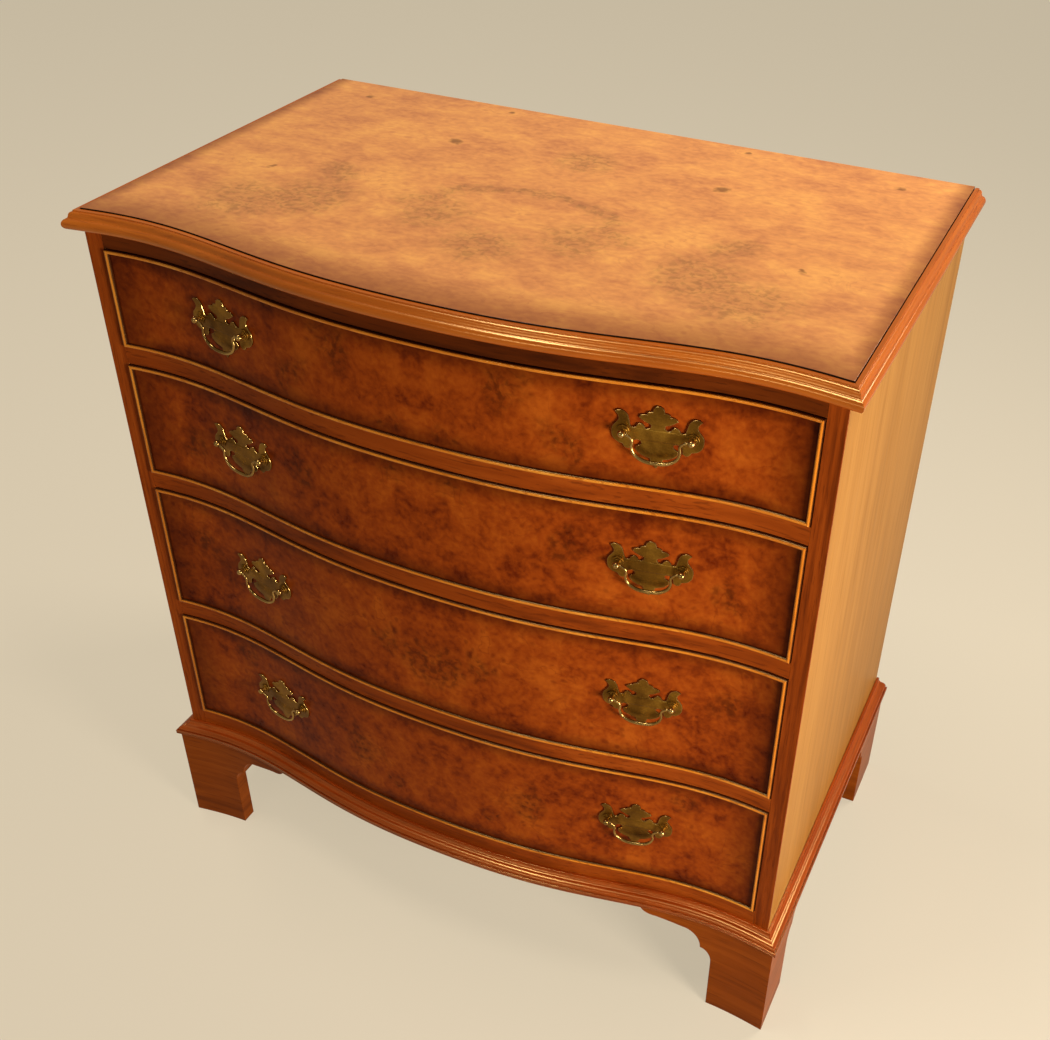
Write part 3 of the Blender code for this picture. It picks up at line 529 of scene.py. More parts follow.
RAIL_WOOD = plain_wood("rail_walnut", "x", RAIL_TONES, SATIN)
SHADED_TOP_RAIL_WOOD = plain_wood("top_rail_walnut", "x", SHADED_TOP_RAIL_TONES, SATIN)
STILE_WOOD = plain_wood("stile_walnut", "z", RAIL_TONES, SATIN, streaks=240.0)
TOP_EDGE_WOOD = edge_woods("top", EDGE_TONES)
BASE_EDGE_WOOD = edge_woods("base", BASE_TONES)
FOOT_WOOD = plain_wood("foot_walnut", "corner", FOOT_TONES, SATIN)
SIDE_WOOD = plain_wood("side_walnut", "z", SIDE_TONES, WAXED, roughness=0.34, streaks=60.0)
LINING_LONG = plain_wood("lining_long", "y", LINING_TONES, DRY, roughness=0.60)
LINING_CROSS = plain_wood("lining_cross", "x", LINING_TONES, DRY, roughness=0.60)
LINING_UPRIGHT = plain_wood("lining_upright", "z", LINING_TONES, DRY, roughness=0.62)
print("mixed", len(bpy.data.materials), "materials so far")

# %% [markdown]
# ## Wood of the beads
# A bead's crown keeps its golden colour and is rubbed smoother, while its foot is painted dark: partly wax
# and dirt, and partly painted shade where the bead meets the front. How far a point stands ahead of the
# front decides between them, so the material works out the serpentine line for itself.

# %% Mix the bead wood
BEAD_TONES = ((0.460, 0.098, 0.004), (0.800, 0.220, 0.012), (0.930, 0.330, 0.030))
# The bead's gloss takes the same warm tint, which stands in for warm light.
BEAD_POLISH = {"Specular IOR Level": 0.80, "Specular Tint": WARM_LIGHT_TINT}
BEAD_STREAKS = 200.0
BEAD_ROUGHNESS = 0.26
CROWN_SHINE = 0.10
# Dirt and painted shade at a bead's foot.
BEAD_FOOT_DIRT_AND_SHADE = (0.050, 0.010, 0.002)
BEAD_FOOT_LEVEL = 0.0029
BEAD_CROWN_LEVEL = 0.0040


def serpentine_wire(x, depth, flattening, hollow_offset):
    """The serpentine formula as nodes."""
    angle = x * math.pi / hollow_offset
    return flattening * (angle * 2.0).cosine() - depth * angle.cosine()


def behind_front(finish):
    """How far each point is behind the serpentine front."""
    wave = serpentine_wire(finish.x, SERPENTINE_DEPTH, SERPENTINE_FLATTENING, HOLLOW_OFFSET)
    return finish.y - wave - (FRONT - CORNER_DEPTH)


def bead_wood():
    finish = Finish("bead_wood")
    colour, pores = straight_grain(finish, "bead", BEAD_TONES, BEAD_STREAKS)
    # Dirt and painted shade: the bead is darkened towards its foot, where it meets the front.
    crown = finish.step(-1.0 * behind_front(finish), BEAD_FOOT_LEVEL, BEAD_CROWN_LEVEL)
    rubbed = finish.blend(crown, BEAD_FOOT_DIRT_AND_SHADE, colour)
    return finish.polish(rubbed, BEAD_ROUGHNESS - CROWN_SHINE * crown, pores, PORE_DEPTH, BEAD_POLISH)


BEAD_WOOD = bead_wood()
print("mixed", BEAD_WOOD.name)

# %% [markdown]
# ## Burr veneer
# Burr is cut from a knobbly growth, so its figure has no direction: soft clouds, small swirls, thin dark
# veins, and little dark eyes in clusters. Two leaves cut one after the other are opened like a book, which
# mirrors the figure about the middle. Reading the pattern at the distance from the middle, and not at x,
# gives that mirror for nothing.

# %% Draw the burr
BURR_SPREAD = (0.37, 0.50, 0.63)
BURR_BEND = (9.0, 0.05)
CLOUDS = 14.0
CLOUD_SHARE = 0.40
SWIRLS = 48.0
SWIRL_TWIST = 0.3
SWIRL_SHARE = 0.32
MOTTLE = 170.0
MOTTLE_BEND = (70.0, 0.008)
MOTTLE_SHARE = 0.28
CLUSTERS = 14.0
CLUSTER_LEVELS = (0.50, 0.64)
VEINS = 19.0
VEIN_TWIST = 1.0
VEIN_WIDTH = (0.003, 0.016)
VEIN_SHARE = 0.6
EYES = 90.0
EYE_SIZE = (0.10, 0.34)
MARK_SHARE = 0.50
FLECKS = 150.0
FLECK_BEND = (50.0, 0.012)
FLECK_FULL = 0.66


def burr_figure(finish, leaf, tones):
    """Colour and figure of burr on a leaf's own coordinates."""
    bent = finish.warped(leaf, *BURR_BEND)
    clouds = finish.noise(bent, CLOUDS, SOFT)
    swirls = finish.noise(bent, SWIRLS, PLAIN, SWIRL_TWIST)
    mottle = finish.noise(finish.warped(leaf, *MOTTLE_BEND), MOTTLE, FINE)
    figure = CLOUD_SHARE * clouds + SWIRL_SHARE * swirls + MOTTLE_SHARE * mottle
    colour = finish.ramp(figure, BURR_SPREAD, tones)
    clusters = finish.step(finish.noise(leaf, CLUSTERS, SOFT), *CLUSTER_LEVELS)
    vein = abs(finish.noise(bent, VEINS, PLAIN, VEIN_TWIST) - NOISE_MEAN)
    veins = VEIN_SHARE * clusters * (1.0 - finish.step(vein, *VEIN_WIDTH))
    cells = finish.node("ShaderNodeTexVoronoi", None, {"Vector": bent, "Scale": EYES})
    eyes = clusters * (1.0 - finish.step(cells, *EYE_SIZE))
    return finish.blend(MARK_SHARE * eyes.most(veins), colour, tones[0]), figure


def flecked(finish, leaf, start):
    """Fine flecks, where noise is above a level."""
    return finish.step(finish.noise(finish.warped(leaf, *FLECK_BEND), FLECKS, FINE), start, FLECK_FULL)


print("burr is ready")

# %% [markdown]
# ## Veneer of the top
# The top is amber and shows the mirror well: four pairs of knots, and a grey arch near the front. It is
# painted darker towards the moulded edges, and the front edge of that darkening follows the serpentine
# formula. Right at the edge, the sunk line beside the moulding is painted black, as painted shade in its
# narrow groove.

# %% Lay the top's veneer
TOP_POLISH = {"Specular IOR Level": 0.12}
TOP_ROUGHNESS = 0.24
TOP_DULLING = 0.16
TOP_TONES = ((0.595, 0.204, 0.067), (0.775, 0.292, 0.082), (0.910, 0.382, 0.094))
TOP_FLOW = 0.7
TOP_KNOT = (0.150, 0.056, 0.018)
TOP_KNOT_SHARE = 0.70
TOP_GREY = (0.260, 0.112, 0.036)
TOP_GREY_EVEN = 0.20
TOP_GREY_FLECKED = 0.34
TOP_FLECK_START = 0.42
TOP_RIM = (0.51, 0.43, 0.43)
TOP_RIM_START = -0.004
TOP_RIM_WIDTH = 0.065
SIDE_RIM = 3.0
TOP_LINE_SHADE = (0.022, 0.008, 0.003)
TOP_LINE_SHADE_CORE = 0.3
TOP_LINE_SHADE_WIDTH = 0.0004
TOP_FRAYING = ((14.0, 0.060), (60.0, 0.024))
KNOT_BEND = (75.0, 0.020)
TOP_KNOTS = (((0.149, 0.120, 0.0), 0.0100), ((0.305, 0.202, 0.0), 0.0090), ((0.139, 0.229, 0.0), 0.0060),
             ((0.274, -0.028, 0.0), 0.0060))
TOP_CLOUDS = (((0.200, -0.075, 0.0), 0.060), ((0.255, -0.105, 0.0), 0.065), ((0.0, -0.102, 0.0), 0.050),
              ((0.0, 0.126, 0.0), 0.040), ((0.210, -0.010, 0.0), 0.038), ((0.075, -0.060, 0.0), 0.050))
ARCH_MIDDLE = -0.049
ARCH_HALF_WIDTH = 0.108
ARCH_HEIGHT = 0.078
ARCH_FADE = (0.05, 0.42)
ARCH_FOOT = (-0.03, 0.02)


def top_burr():
    finish = Finish("top_burr")
    across = abs(finish.x)
    leaf = finish.vector(across, finish.y, 0.0)
    colour, figure = burr_figure(finish, finish.vector(TOP_FLOW * across, finish.y, 0.0), TOP_TONES)
    ragged = finish.frayed(leaf, TOP_FRAYING)
    ragged_x, ragged_y = finish.split(ragged)[:2]
    arch_x = ragged_x / ARCH_HALF_WIDTH
    arch_y = (ragged_y - ARCH_MIDDLE) / ARCH_HEIGHT
    from_arch = abs((arch_x * arch_x + arch_y * arch_y) - 1.0)
    arch = (1.0 - finish.step(from_arch, *ARCH_FADE)) * finish.step(finish.y - ARCH_MIDDLE, *ARCH_FOOT)
    clouds = finish.spots(ragged, TOP_CLOUDS)
    grey = TOP_GREY_EVEN + TOP_GREY_FLECKED * flecked(finish, leaf, TOP_FLECK_START)
    greyed = finish.blend(arch.most(clouds) * grey, colour, TOP_GREY)
    knots = finish.spots(finish.warped(leaf, *KNOT_BEND), TOP_KNOTS)
    knotted = finish.blend(TOP_KNOT_SHARE * knots, greyed, TOP_KNOT)
    # The leaf is painted darker towards the moulded edges.
    rim = behind_front(finish).least(SIDE_RIM * (HALF_WIDTH - across))
    rim_darkening = 1.0 - finish.step(rim, TOP_RIM_START, TOP_RIM_WIDTH)
    rim_darkened = finish.blend(rim_darkening, knotted, TOP_RIM, "MULTIPLY")
    # Painted shade: the leaf is painted black at the sunk line beside the moulding.
    line_shade = 1.0 - finish.step(rim, TOP_LINE_SHADE_CORE * TOP_LINE_SHADE_WIDTH, TOP_LINE_SHADE_WIDTH)
    line_shaded = finish.blend(line_shade, rim_darkened, TOP_LINE_SHADE)
    roughness = TOP_ROUGHNESS + TOP_DULLING * (figure - NOISE_MEAN)
    return finish.polish(line_shaded, roughness, figure, PORE_DEPTH, TOP_POLISH)


TOP_BURR = top_burr()
print("laid", TOP_BURR.name)

# %% [markdown]
# ## Veneer of the drawers
# The drawer fronts are a redder, darker burr, mirrored the same way. Each has its own figure, so each drawer
# gets its own material: the leaf is read at another depth of the noise, and a few dark patches are listed.
# Beside the beads the leaf is painted darker: a dark line, which is painted shade in the crease at the bead,
# and a softer darkening that fades inwards and is wider at the ends.

# %% Lay the drawers' veneers
FRONT_TONES = ((0.165, 0.018, 0.0012), (0.370, 0.056, 0.0034), (0.520, 0.100, 0.0066))
FRONT_ROUGHNESS = 0.30
FRONT_DULLING = 0.20
FRONT_RIM = (0.22, 0.16, 0.12)
RIM_SHADE_LINE = 0.0020
RIM_SHADE = 0.020
RIM_SHADE_SHARE = 0.70
END_RIM = 0.40
LEAF_SPACING = 0.37
FRONT_FRAYING = ((18.0, 0.050), (70.0, 0.024))
FRONT_PATCH = (0.070, 0.010, 0.001)
FRONT_PATCH_EVEN = 0.20
FRONT_PATCH_FLECKED = 0.50
FRONT_FLECK_START = 0.40
FRONT_PATCHES = {
    1: (((0.085, 0.0, 0.735), 0.028), ((0.140, 0.0, 0.700), 0.026), ((0.035, 0.0, 0.680), 0.020)),
    2: (((0.030, 0.0, 0.622), 0.020), ((0.145, 0.0, 0.590), 0.024), ((0.290, 0.0, 0.560), 0.024)),
    3: (((0.012, 0.0, 0.404), 0.034), ((0.052, 0.0, 0.412), 0.024), ((0.300, 0.0, 0.440), 0.028)),
    4: (((0.100, 0.0, 0.245), 0.026), ((0.060, 0.0, 0.210), 0.020), ((0.270, 0.0, 0.290), 0.024)),
}


def front_burr(number, low, high, half):
    finish = Finish(f"front_burr_{number}")
    across = abs(finish.x)
    leaf = finish.vector(across, number * LEAF_SPACING, finish.z)
    colour, figure = burr_figure(finish, leaf, FRONT_TONES)
    flat_leaf = finish.vector(across, 0.0, finish.z)
    patches = finish.spots(finish.frayed(flat_leaf, FRONT_FRAYING), FRONT_PATCHES[number])
    dark = FRONT_PATCH_EVEN + FRONT_PATCH_FLECKED * flecked(finish, flat_leaf, FRONT_FLECK_START)
    patched = finish.blend(patches * dark, colour, FRONT_PATCH)
    # Painted shade: a dark line along the crease at each bead, then a softer darkening inwards, wider at the
    # ends.
    rim = (END_RIM * (half - across)).least(finish.z - low).least(high - finish.z)
    line = 1.0 - finish.step(rim, 0.0, RIM_SHADE_LINE)
    shade = RIM_SHADE_SHARE * (1.0 - finish.step(rim, 0.0, RIM_SHADE))
    rim_darkened = finish.blend(line.most(shade), patched, FRONT_RIM, "MULTIPLY")
    roughness = FRONT_ROUGHNESS + FRONT_DULLING * (figure - NOISE_MEAN)
    return finish.polish(rim_darkened, roughness, figure, PORE_DEPTH, SATIN)


print("drawer veneers are ready")

# %% [markdown]
# ## Brass
# The handles are cast brass that has gone olive-brown. Fingers keep the rims, the knobs and the bails
# brighter. A metal's colour is its reflection, so the tones are those of the patina, and the relief and
# roughness do the rest.

# %% Cast the brass
BRASS_TONES = ((0.120, 0.052, 0.008), (0.240, 0.112, 0.014), (0.420, 0.215, 0.026))
RUBBED_TONES = ((0.250, 0.140, 0.036), (0.410, 0.240, 0.066), (0.600, 0.380, 0.120))
BRASS_SPREAD = (0.30, 0.50, 0.70)
BRASS_DULLING = 0.20
PATINA = 45.0
PATINA_TWIST = 0.3
PATINA_SHARE = 0.75
GRIT = 700.0


def brass(name, tones, roughness):
    finish = Finish(name)
    patina = finish.noise(finish.place, PATINA, PLAIN, PATINA_TWIST)
    grit = finish.noise(finish.place, GRIT)
    colour = finish.ramp(PATINA_SHARE * patina + (1.0 - PATINA_SHARE) * grit, BRASS_SPREAD, tones)
    dulled = roughness + BRASS_DULLING * (patina - NOISE_MEAN)
    return finish.polish(colour, dulled, grit, PORE_DEPTH, {"Metallic": 1.0})


AGED_BRASS = brass("aged_brass", BRASS_TONES, roughness=0.40)
RUBBED_BRASS = brass("rubbed_brass", RUBBED_TONES, roughness=0.24)
print("cast", AGED_BRASS.name, "and", RUBBED_BRASS.name)

# %% [markdown]
# ## Meshes on the bench
# A mesh is worked on as on a bench: opened, welded, joined to others, and put down as a new mesh. Many solid
# pieces start as a prism, which is an outline pushed along a line. Ready-made blocks would be quicker, but
# few parts of a chest are plain blocks.

# %% Tools for meshes
WELD = 0.000005


def plain_mesh(holder):
    """The mesh of an object as it is evaluated. The object itself is removed."""
    evaluated = holder.evaluated_get(bpy.context.evaluated_depsgraph_get())
    mesh = bpy.data.meshes.new_from_object(evaluated)
    bpy.data.objects.remove(holder)
    return mesh


def opened(*meshes):
    """A bmesh of one mesh or several."""
    built = bmesh.new()
    for mesh in meshes:
        built.from_mesh(mesh)
    return built


def weld(built):
    """Merges points in the same place and turns the faces outwards."""
    bmesh.ops.remove_doubles(built, verts=built.verts, dist=WELD)
    bmesh.ops.recalc_face_normals(built, faces=built.faces)


def as_mesh(built):
    """A new mesh of a bmesh, which is then freed."""
    mesh = bpy.data.meshes.new("piece")
    built.to_mesh(mesh)
    built.free()
    return mesh


def joined(meshes):
    """One mesh of several."""
    return as_mesh(opened(*meshes))


def prism(points, through):
    """Solid between an outline and the same outline moved by a vector."""
    built = bmesh.new()
    face = built.faces.new([built.verts.new(point) for point in points])
    extruded = bmesh.ops.extrude_face_region(built, geom=[face])["geom"]
    corners = [part for part in extruded if isinstance(part, bmesh.types.BMVert)]
    bmesh.ops.translate(built, verts=corners, vec=through)
    bmesh.ops.recalc_face_normals(built, faces=built.faces)
    return as_mesh(built)


print("the bench is ready")

# %% [markdown]
# ## From mesh to piece
# Pieces below go much the same way: where one meets another it is sawn, most have their sharp edges eased
# with a narrow bevel, as a maker does with fine paper, and each is set on the body that carries it. A packed
# board whose place it takes is hidden. Smooth shading stops at sharp edges, so curved faces look round and
# corners stay crisp.

# %% Saw, ease and set
SHARP_ANGLE = math.radians(20)
EASE = 0.0004


def trim(mesh, point, outward):
    """Saws a mesh on a plane, keeps what is behind it and closes the cut."""
    built = opened(mesh)
    everything = built.verts[:] + built.edges[:] + built.faces[:]
    bmesh.ops.bisect_plane(built, geom=everything, plane_co=point, plane_no=outward, clear_outer=True)
    bmesh.ops.edgeloop_fill(built, edges=[edge for edge in built.edges if edge.is_boundary])
    return as_mesh(built)


def eased(mesh, width=EASE):
    """Rounds the sharp edges of a mesh."""
    built = opened(mesh)
    weld(built)
    sharp = [edge for edge in built.edges if edge.is_manifold and edge.calc_face_angle() > SHARP_ANGLE]
    bmesh.ops.bevel(built, geom=sharp, offset=width, segments=2, profile=0.5, affect="EDGES",
                    clamp_overlap=True)
    return as_mesh(built)


def set_piece(name, mesh, materials, slot, body, *nodes):
    """Sets a finished mesh on its body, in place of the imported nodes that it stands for."""
    built = opened(mesh)
    weld(built)
    finished = as_mesh(built)
    finished.name = name
    for material in materials:
        finished.materials.append(material)
    finished.shade_smooth()
    finished.set_sharp_from_angle(angle=SHARP_ANGLE)
    piece = put(name, finished)
    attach(piece, body)
    if nodes:
        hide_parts(*nodes)
    return piece


print(f"sharp edges are eased by {MILLIMETRES * EASE:.1f} mm")

# %% [markdown]
# ## Trees with named inputs
# A Geometry Nodes tree is a small machine: it takes a mesh and some sizes, and gives a new mesh. Each tree
# here ends in real geometry with its material. What comes out is kept as a plain mesh, so that no modifier
# stays on a piece.

# %% Tools for trees
def start_tree(name, sockets):
    """A Geometry Nodes tree with named inputs. Gives the graph and a wire for each input."""
    tree = bpy.data.node_groups.new(name, "GeometryNodeTree")
    for label, kind in sockets.items():
        tree.interface.new_socket(label, in_out="INPUT", socket_type=f"NodeSocket{kind}")
    tree.interface.new_socket("Geometry", in_out="OUTPUT", socket_type="NodeSocketGeometry")
    graph = Graph(tree)
    return graph, {label: graph.node("NodeGroupInput", output=label) for label in sockets}


def end_tree(graph, geometry, material):
    """Ends a tree in real geometry with its material."""
    real = graph.node("GeometryNodeRealizeInstances", None, {"Geometry": geometry})
    painted = graph.node("GeometryNodeSetMaterial", None, {"Geometry": real, "Material": material})
    graph.node("NodeGroupOutput", None, {"Geometry": painted})
    return graph.tree


def run_tree(tree, mesh, values):
    """Plain mesh of a tree that works on a mesh. The inputs are set by their identifiers."""
    holder = put("on_the_bench", mesh)
    modifier = holder.modifiers.new("tree", "NODES")
    modifier.node_group = tree
    for socket in tree.interface.items_tree:
        if socket.in_out == "INPUT" and socket.name in values:
            modifier[socket.identifier] = values[socket.name]
    return plain_mesh(holder)


print("trees can be grown")

# %% [markdown]
# ## Sweeping along the serpentine
# Mouldings, beads, rail facings and veneers are one section drawn along the serpentine front. A hand-made
# loft would need its own loop for each. A Geometry Nodes tree does it once: it lays a line from left to
# right, bends it by the formula, and draws the section that it is given along it. The sizes are the tree's
# named inputs.

# %% Grow the sweep tree
SWEEP_STATIONS = 121
FEWEST_STATIONS = 8
SWEEP_SIZES = {
    "Left": -HALF_WIDTH,
    "Right": HALF_WIDTH,
    "Half width": HALF_WIDTH,
    "Front": FRONT,
    "Depth": SERPENTINE_DEPTH,
    "Flattening": SERPENTINE_FLATTENING,
    "Hollow offset": HOLLOW_OFFSET,
    "Corner depth": CORNER_DEPTH,
    "Corner slope": CORNER_SLOPE,
}


def grow_sweep():
    sockets = {"Section": "Geometry", "Stations": "Int", **dict.fromkeys(SWEEP_SIZES, "Float"),
               "Material": "Material"}
    graph, given = start_tree("serpentine_sweep", sockets)
    ends = [graph.node("ShaderNodeCombineXYZ", None, {"X": given[label]}) for label in ("Left", "Right")]
    line = graph.node("GeometryNodeCurvePrimitiveLine", None, {"Start": ends[0], "End": ends[1]})
    stations = graph.node("GeometryNodeResampleCurve", {"mode": "COUNT"},
                          {"Curve": line, "Count": given["Stations"]})
    x = graph.split(graph.node("GeometryNodeInputPosition"))[0]
    inside = x.least(given["Half width"]).most(-1.0 * given["Half width"])
    wave = serpentine_wire(inside, given["Depth"], given["Flattening"], given["Hollow offset"])
    straight = given["Corner slope"] * abs(x - inside)
    y = given["Front"] + wave - given["Corner depth"] + straight
    place = graph.node("ShaderNodeCombineXYZ", None, {"X": x, "Y": y})
    path = graph.node("GeometryNodeSetPosition", None, {"Geometry": stations, "Position": place})
    upright = graph.node("GeometryNodeSetCurveNormal", {"mode": "Z_UP"}, {"Curve": path})
    section = graph.node("GeometryNodeMeshToCurve", None, {"Mesh": given["Section"]})
    swept = graph.node("GeometryNodeCurveToMesh", None,
                       {"Curve": upright, "Profile Curve": section, "Fill Caps": True})
    return end_tree(graph, swept, given["Material"])


SWEEP = grow_sweep()


def sweep(section, left, right, material):
    """Solid of a section drawn along the front. Its points are a distance ahead of it and a height."""
    loop = bpy.data.meshes.new("section")
    edges = [(place - 1, place) for place in range(1, len(section))] + [(len(section) - 1, 0)]
    loop.from_pydata([(ahead, -height, 0.0) for ahead, height in section], edges, [])
    stations = max(FEWEST_STATIONS, math.ceil(SWEEP_STATIONS * (right - left) / (2 * HALF_WIDTH)))
    values = {**SWEEP_SIZES, "Left": left, "Right": right, "Stations": stations, "Material": material}
    return run_tree(SWEEP, loop, values)


def strip(near, far, low, high):
    """Section of a flat strip, from near to far ahead of the front."""
    return [(near, low), (far, low), (far, high), (near, high)]


print("the sweep has", len(SWEEP.nodes), "nodes")

# %% [markdown]
# ## Mitred mouldings
# A moulding is glued round the front and two sides. The front run is a sweep and the side runs are straight.
# They meet on the line that halves the corner, where each is sawn. Sections are drawn in arcs and smooth
# bends, like the irons of a moulding plane.

# %% Tools for mouldings
PAST = 0.010
CORNER_TURN = math.atan(CORNER_SLOPE)
MITRE_FALL = (math.sin(CORNER_TURN) - 1.0) / math.cos(CORNER_TURN)


def arc(centre, width, height, start, end, facets=10):
    """Points of an elliptical arc, between two angles in degrees."""
    angles = [math.radians(start + (end - start) * step / facets) for step in range(facets + 1)]
    return [(centre[0] + width * math.cos(a), centre[1] + height * math.sin(a)) for a in angles]


def mitred(mesh, side, front_run):
    """Saws a run on the mitre of one front corner."""
    outward = Vector((-side * MITRE_FALL, 1.0, 0.0))
    return trim(mesh, (side * HALF_WIDTH, FRONT, 0.0), outward if front_run else -outward)


def moulding(name, section, projection, woods):
    """A moulding round the front and both sides, on the case."""
    reach = HALF_WIDTH + projection + PAST
    front = sweep(section, -reach, reach, woods["front"])
    for side, label in SIDES:
        front = mitred(front, side, True)
        outline = [(side * (HALF_WIDTH + ahead), FRONT - 2 * reach, height) for ahead, height in section]
        run = mitred(prism(outline, (0.0, BACK - FRONT + 2 * reach, 0.0)), side, False)
        set_piece(f"{name}_edge_{label}", eased(run, EASE / 2), [woods["side"]], "walnut", "case",
                  f"{name}_moulding_{label}")
    return set_piece(f"{name}_edge_front", eased(front, EASE / 2), [woods["front"]], "walnut", "case",
                     f"{name}_moulding_front")


def bend(start, corner, end, facets=8):
    """Points between two ends, drawn smoothly towards a corner."""
    shares = [step / facets for step in range(1, facets)]
    return [tuple((1 - s) ** 2 * a + 2 * s * (1 - s) * b + s * s * c for a, b, c in zip(start, corner, end))
            for s in shares]


print(f"the front turns {math.degrees(CORNER_TURN):.1f} degrees at its corners")

# %% [markdown]
# ## The top and its moulded edge
# The top is a flat board with the serpentine front. Its moulding has a fillet beside a narrow sunk line,
# then an ogee, then a rounded nose under it.

# %% Make the top
TOP_EDGE_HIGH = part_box("top_moulding_right")[1]
TOP_UNDERSIDE = TOP_LOW.z
TOP_PROJECTION = TOP_EDGE_HIGH.x - HALF_WIDTH
TOP_LINE_WIDTH = 0.0006
TOP_LINE_DEPTH = 0.0030
TOP_FILLET = 0.0046
TOP_STEP = 0.0012
TOP_SHOULDER = (0.0031, 0.0032)
TOP_SHOULDER_TURN = (90, 10)
TOP_COVE = (0.0084, 0.0079)
TOP_NOSE = (0.0048, 0.0054)
TOP_NOSE_TURN = (70, -90)
TOP_NOSE_FACETS = 18


def top_section():
    """Fillet beside a sunk line, ogee and nose."""
    level = TOP_EDGE_HIGH.z
    sunk = level - TOP_LINE_DEPTH
    inner = [(GLUE_LINE, TOP_UNDERSIDE), (GLUE_LINE, sunk), (TOP_LINE_WIDTH, sunk), (TOP_LINE_WIDTH, level)]
    shoulder = arc((TOP_FILLET, level - TOP_STEP - TOP_SHOULDER[1]), *TOP_SHOULDER, *TOP_SHOULDER_TURN)
    nose_centre = (TOP_PROJECTION - TOP_NOSE[0], TOP_UNDERSIDE + TOP_NOSE[1])
    nose = arc(nose_centre, *TOP_NOSE, *TOP_NOSE_TURN, TOP_NOSE_FACETS)
    cove = bend(shoulder[-1], (TOP_COVE[0], level - TOP_COVE[1]), nose[0])
    return [*inner, (TOP_FILLET, level), *shoulder, *cove, *nose]


def front_points(left, right, count):
    """Points of the front line from left to right, in plan."""
    places = [left + (right - left) * step / count for step in range(count + 1)]
    return [(x, front_y(x)) for x in places]


plan = front_points(-HALF_WIDTH, HALF_WIDTH, SWEEP_STATIONS) + [(HALF_WIDTH, BACK), (-HALF_WIDTH, BACK)]
leaf = prism([(x, y, TOP_UNDERSIDE) for x, y in plan], (0.0, 0.0, TOP_HIGH.z - TOP_UNDERSIDE))
set_piece("top_leaf", eased(leaf), [TOP_BURR], "top_burr", "case", "top_panel")
top_edge = moulding("top", top_section(), TOP_PROJECTION, TOP_EDGE_WOOD)
print(f"top edge projects {MILLIMETRES * TOP_PROJECTION:.1f} mm, {len(top_edge.data.vertices)} points")

# %% [markdown]
# ## The base moulding
# Under the case runs a heavier moulding. From the top down it has a small lip, a hollow, a round, a sunk
# dark line, a fillet, and a second fine line over its lowest edge.

# %% Make the base moulding
BASE_PROJECTION = BASE_HIGH.x - HALF_WIDTH
FOOT_TOP = BASE_LOW.z
BASE_TOP = BASE_HIGH.z
BASE_LIP = 0.0034
BASE_LIP_DROP = 0.0014
BASE_FILLET = 0.0050
BASE_LINE = 0.0010
BASE_SHELF = 0.0010
BASE_ROUND_WIDTH = 0.0058
BASE_ROUND_HEIGHT = 0.0050
BASE_BOTTOM_EDGE = 0.0011
BASE_BOTTOM_LINE = 0.0006


def base_section():
    """Lip, hollow, round, sunk line, fillet and lower edge."""
    shoulder = FOOT_TOP + BASE_FILLET
    edge_top = FOOT_TOP + BASE_BOTTOM_EDGE
    line_top = edge_top + BASE_BOTTOM_LINE
    fillet_edge = BASE_PROJECTION - BASE_SHELF
    neck = fillet_edge - BASE_LINE
    crown = neck - BASE_ROUND_WIDTH
    lip = BASE_TOP - BASE_LIP_DROP
    lower = [(GLUE_LINE, FOOT_TOP), (BASE_PROJECTION, FOOT_TOP), (BASE_PROJECTION, edge_top)]
    line = [(BASE_PROJECTION - BASE_LINE, edge_top), (BASE_PROJECTION - BASE_LINE, line_top)]
    fillet = [(BASE_PROJECTION, line_top), (BASE_PROJECTION, shoulder), (fillet_edge, shoulder)]
    sunk = [(fillet_edge, shoulder - BASE_LINE), (neck, shoulder - BASE_LINE)]
    round_face = arc((crown, shoulder), BASE_ROUND_WIDTH, BASE_ROUND_HEIGHT, 0, 90)
    hollow = arc((crown, lip), crown - BASE_LIP, lip - shoulder - BASE_ROUND_HEIGHT, 270, 180)
    upper = [*hollow[1:], (BASE_LIP, BASE_TOP), (GLUE_LINE, BASE_TOP)]
    return [*lower, *line, *fillet, *sunk, *round_face, *upper]


base_edge = moulding("base", base_section(), BASE_PROJECTION, BASE_EDGE_WOOD)
print(f"base edge projects {MILLIMETRES * BASE_PROJECTION:.1f} mm, {len(base_edge.data.vertices)} points")

# %% [markdown]
# ## Facings of the rails and stiles
# The fronts of the rails and of the sides are faced with thin walnut. The rails' facings butt between the
# stiles, as the rails do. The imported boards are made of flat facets, so a facing also hides those: it starts
# behind the lowest facet and ends just ahead of the highest one.

# %% Face the rails and stiles
FACING = 0.0008
FACING_ROOT = -0.0008
JOINT_LINE = 0.0002
RAIL_NAMES = ("top_rail", "rail_upper", "rail_middle", "rail_lower", "bottom_rail")

for rail in RAIL_NAMES:
    low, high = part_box(rail)
    # The top rail's facing takes the wood that is painted darker, as shade under the top's overhang.
    wood = SHADED_TOP_RAIL_WOOD if rail == "top_rail" else RAIL_WOOD
    section = strip(FACING_ROOT, FACING, max(low.z, BASE_TOP + JOINT_LINE), high.z)
    facing = sweep(section, JOINT_LINE - OPENING_HALF, OPENING_HALF - JOINT_LINE, wood)
    set_piece(f"{rail}_facing", eased(facing, EASE / 2), [wood], "walnut", "case")

for side, label in SIDES:
    section = strip(FACING_ROOT, FACING, BASE_TOP + JOINT_LINE, SIDE_HIGH.z)
    left, right = sorted((side * OPENING_HALF, side * HALF_WIDTH))
    facing = sweep(section, left, right, STILE_WOOD)
    set_piece(f"stile_{label}_facing", eased(facing, EASE / 2), [STILE_WOOD], "walnut", "case")
print("faced", len(RAIL_NAMES), "rails and", len(SIDES), "stiles")

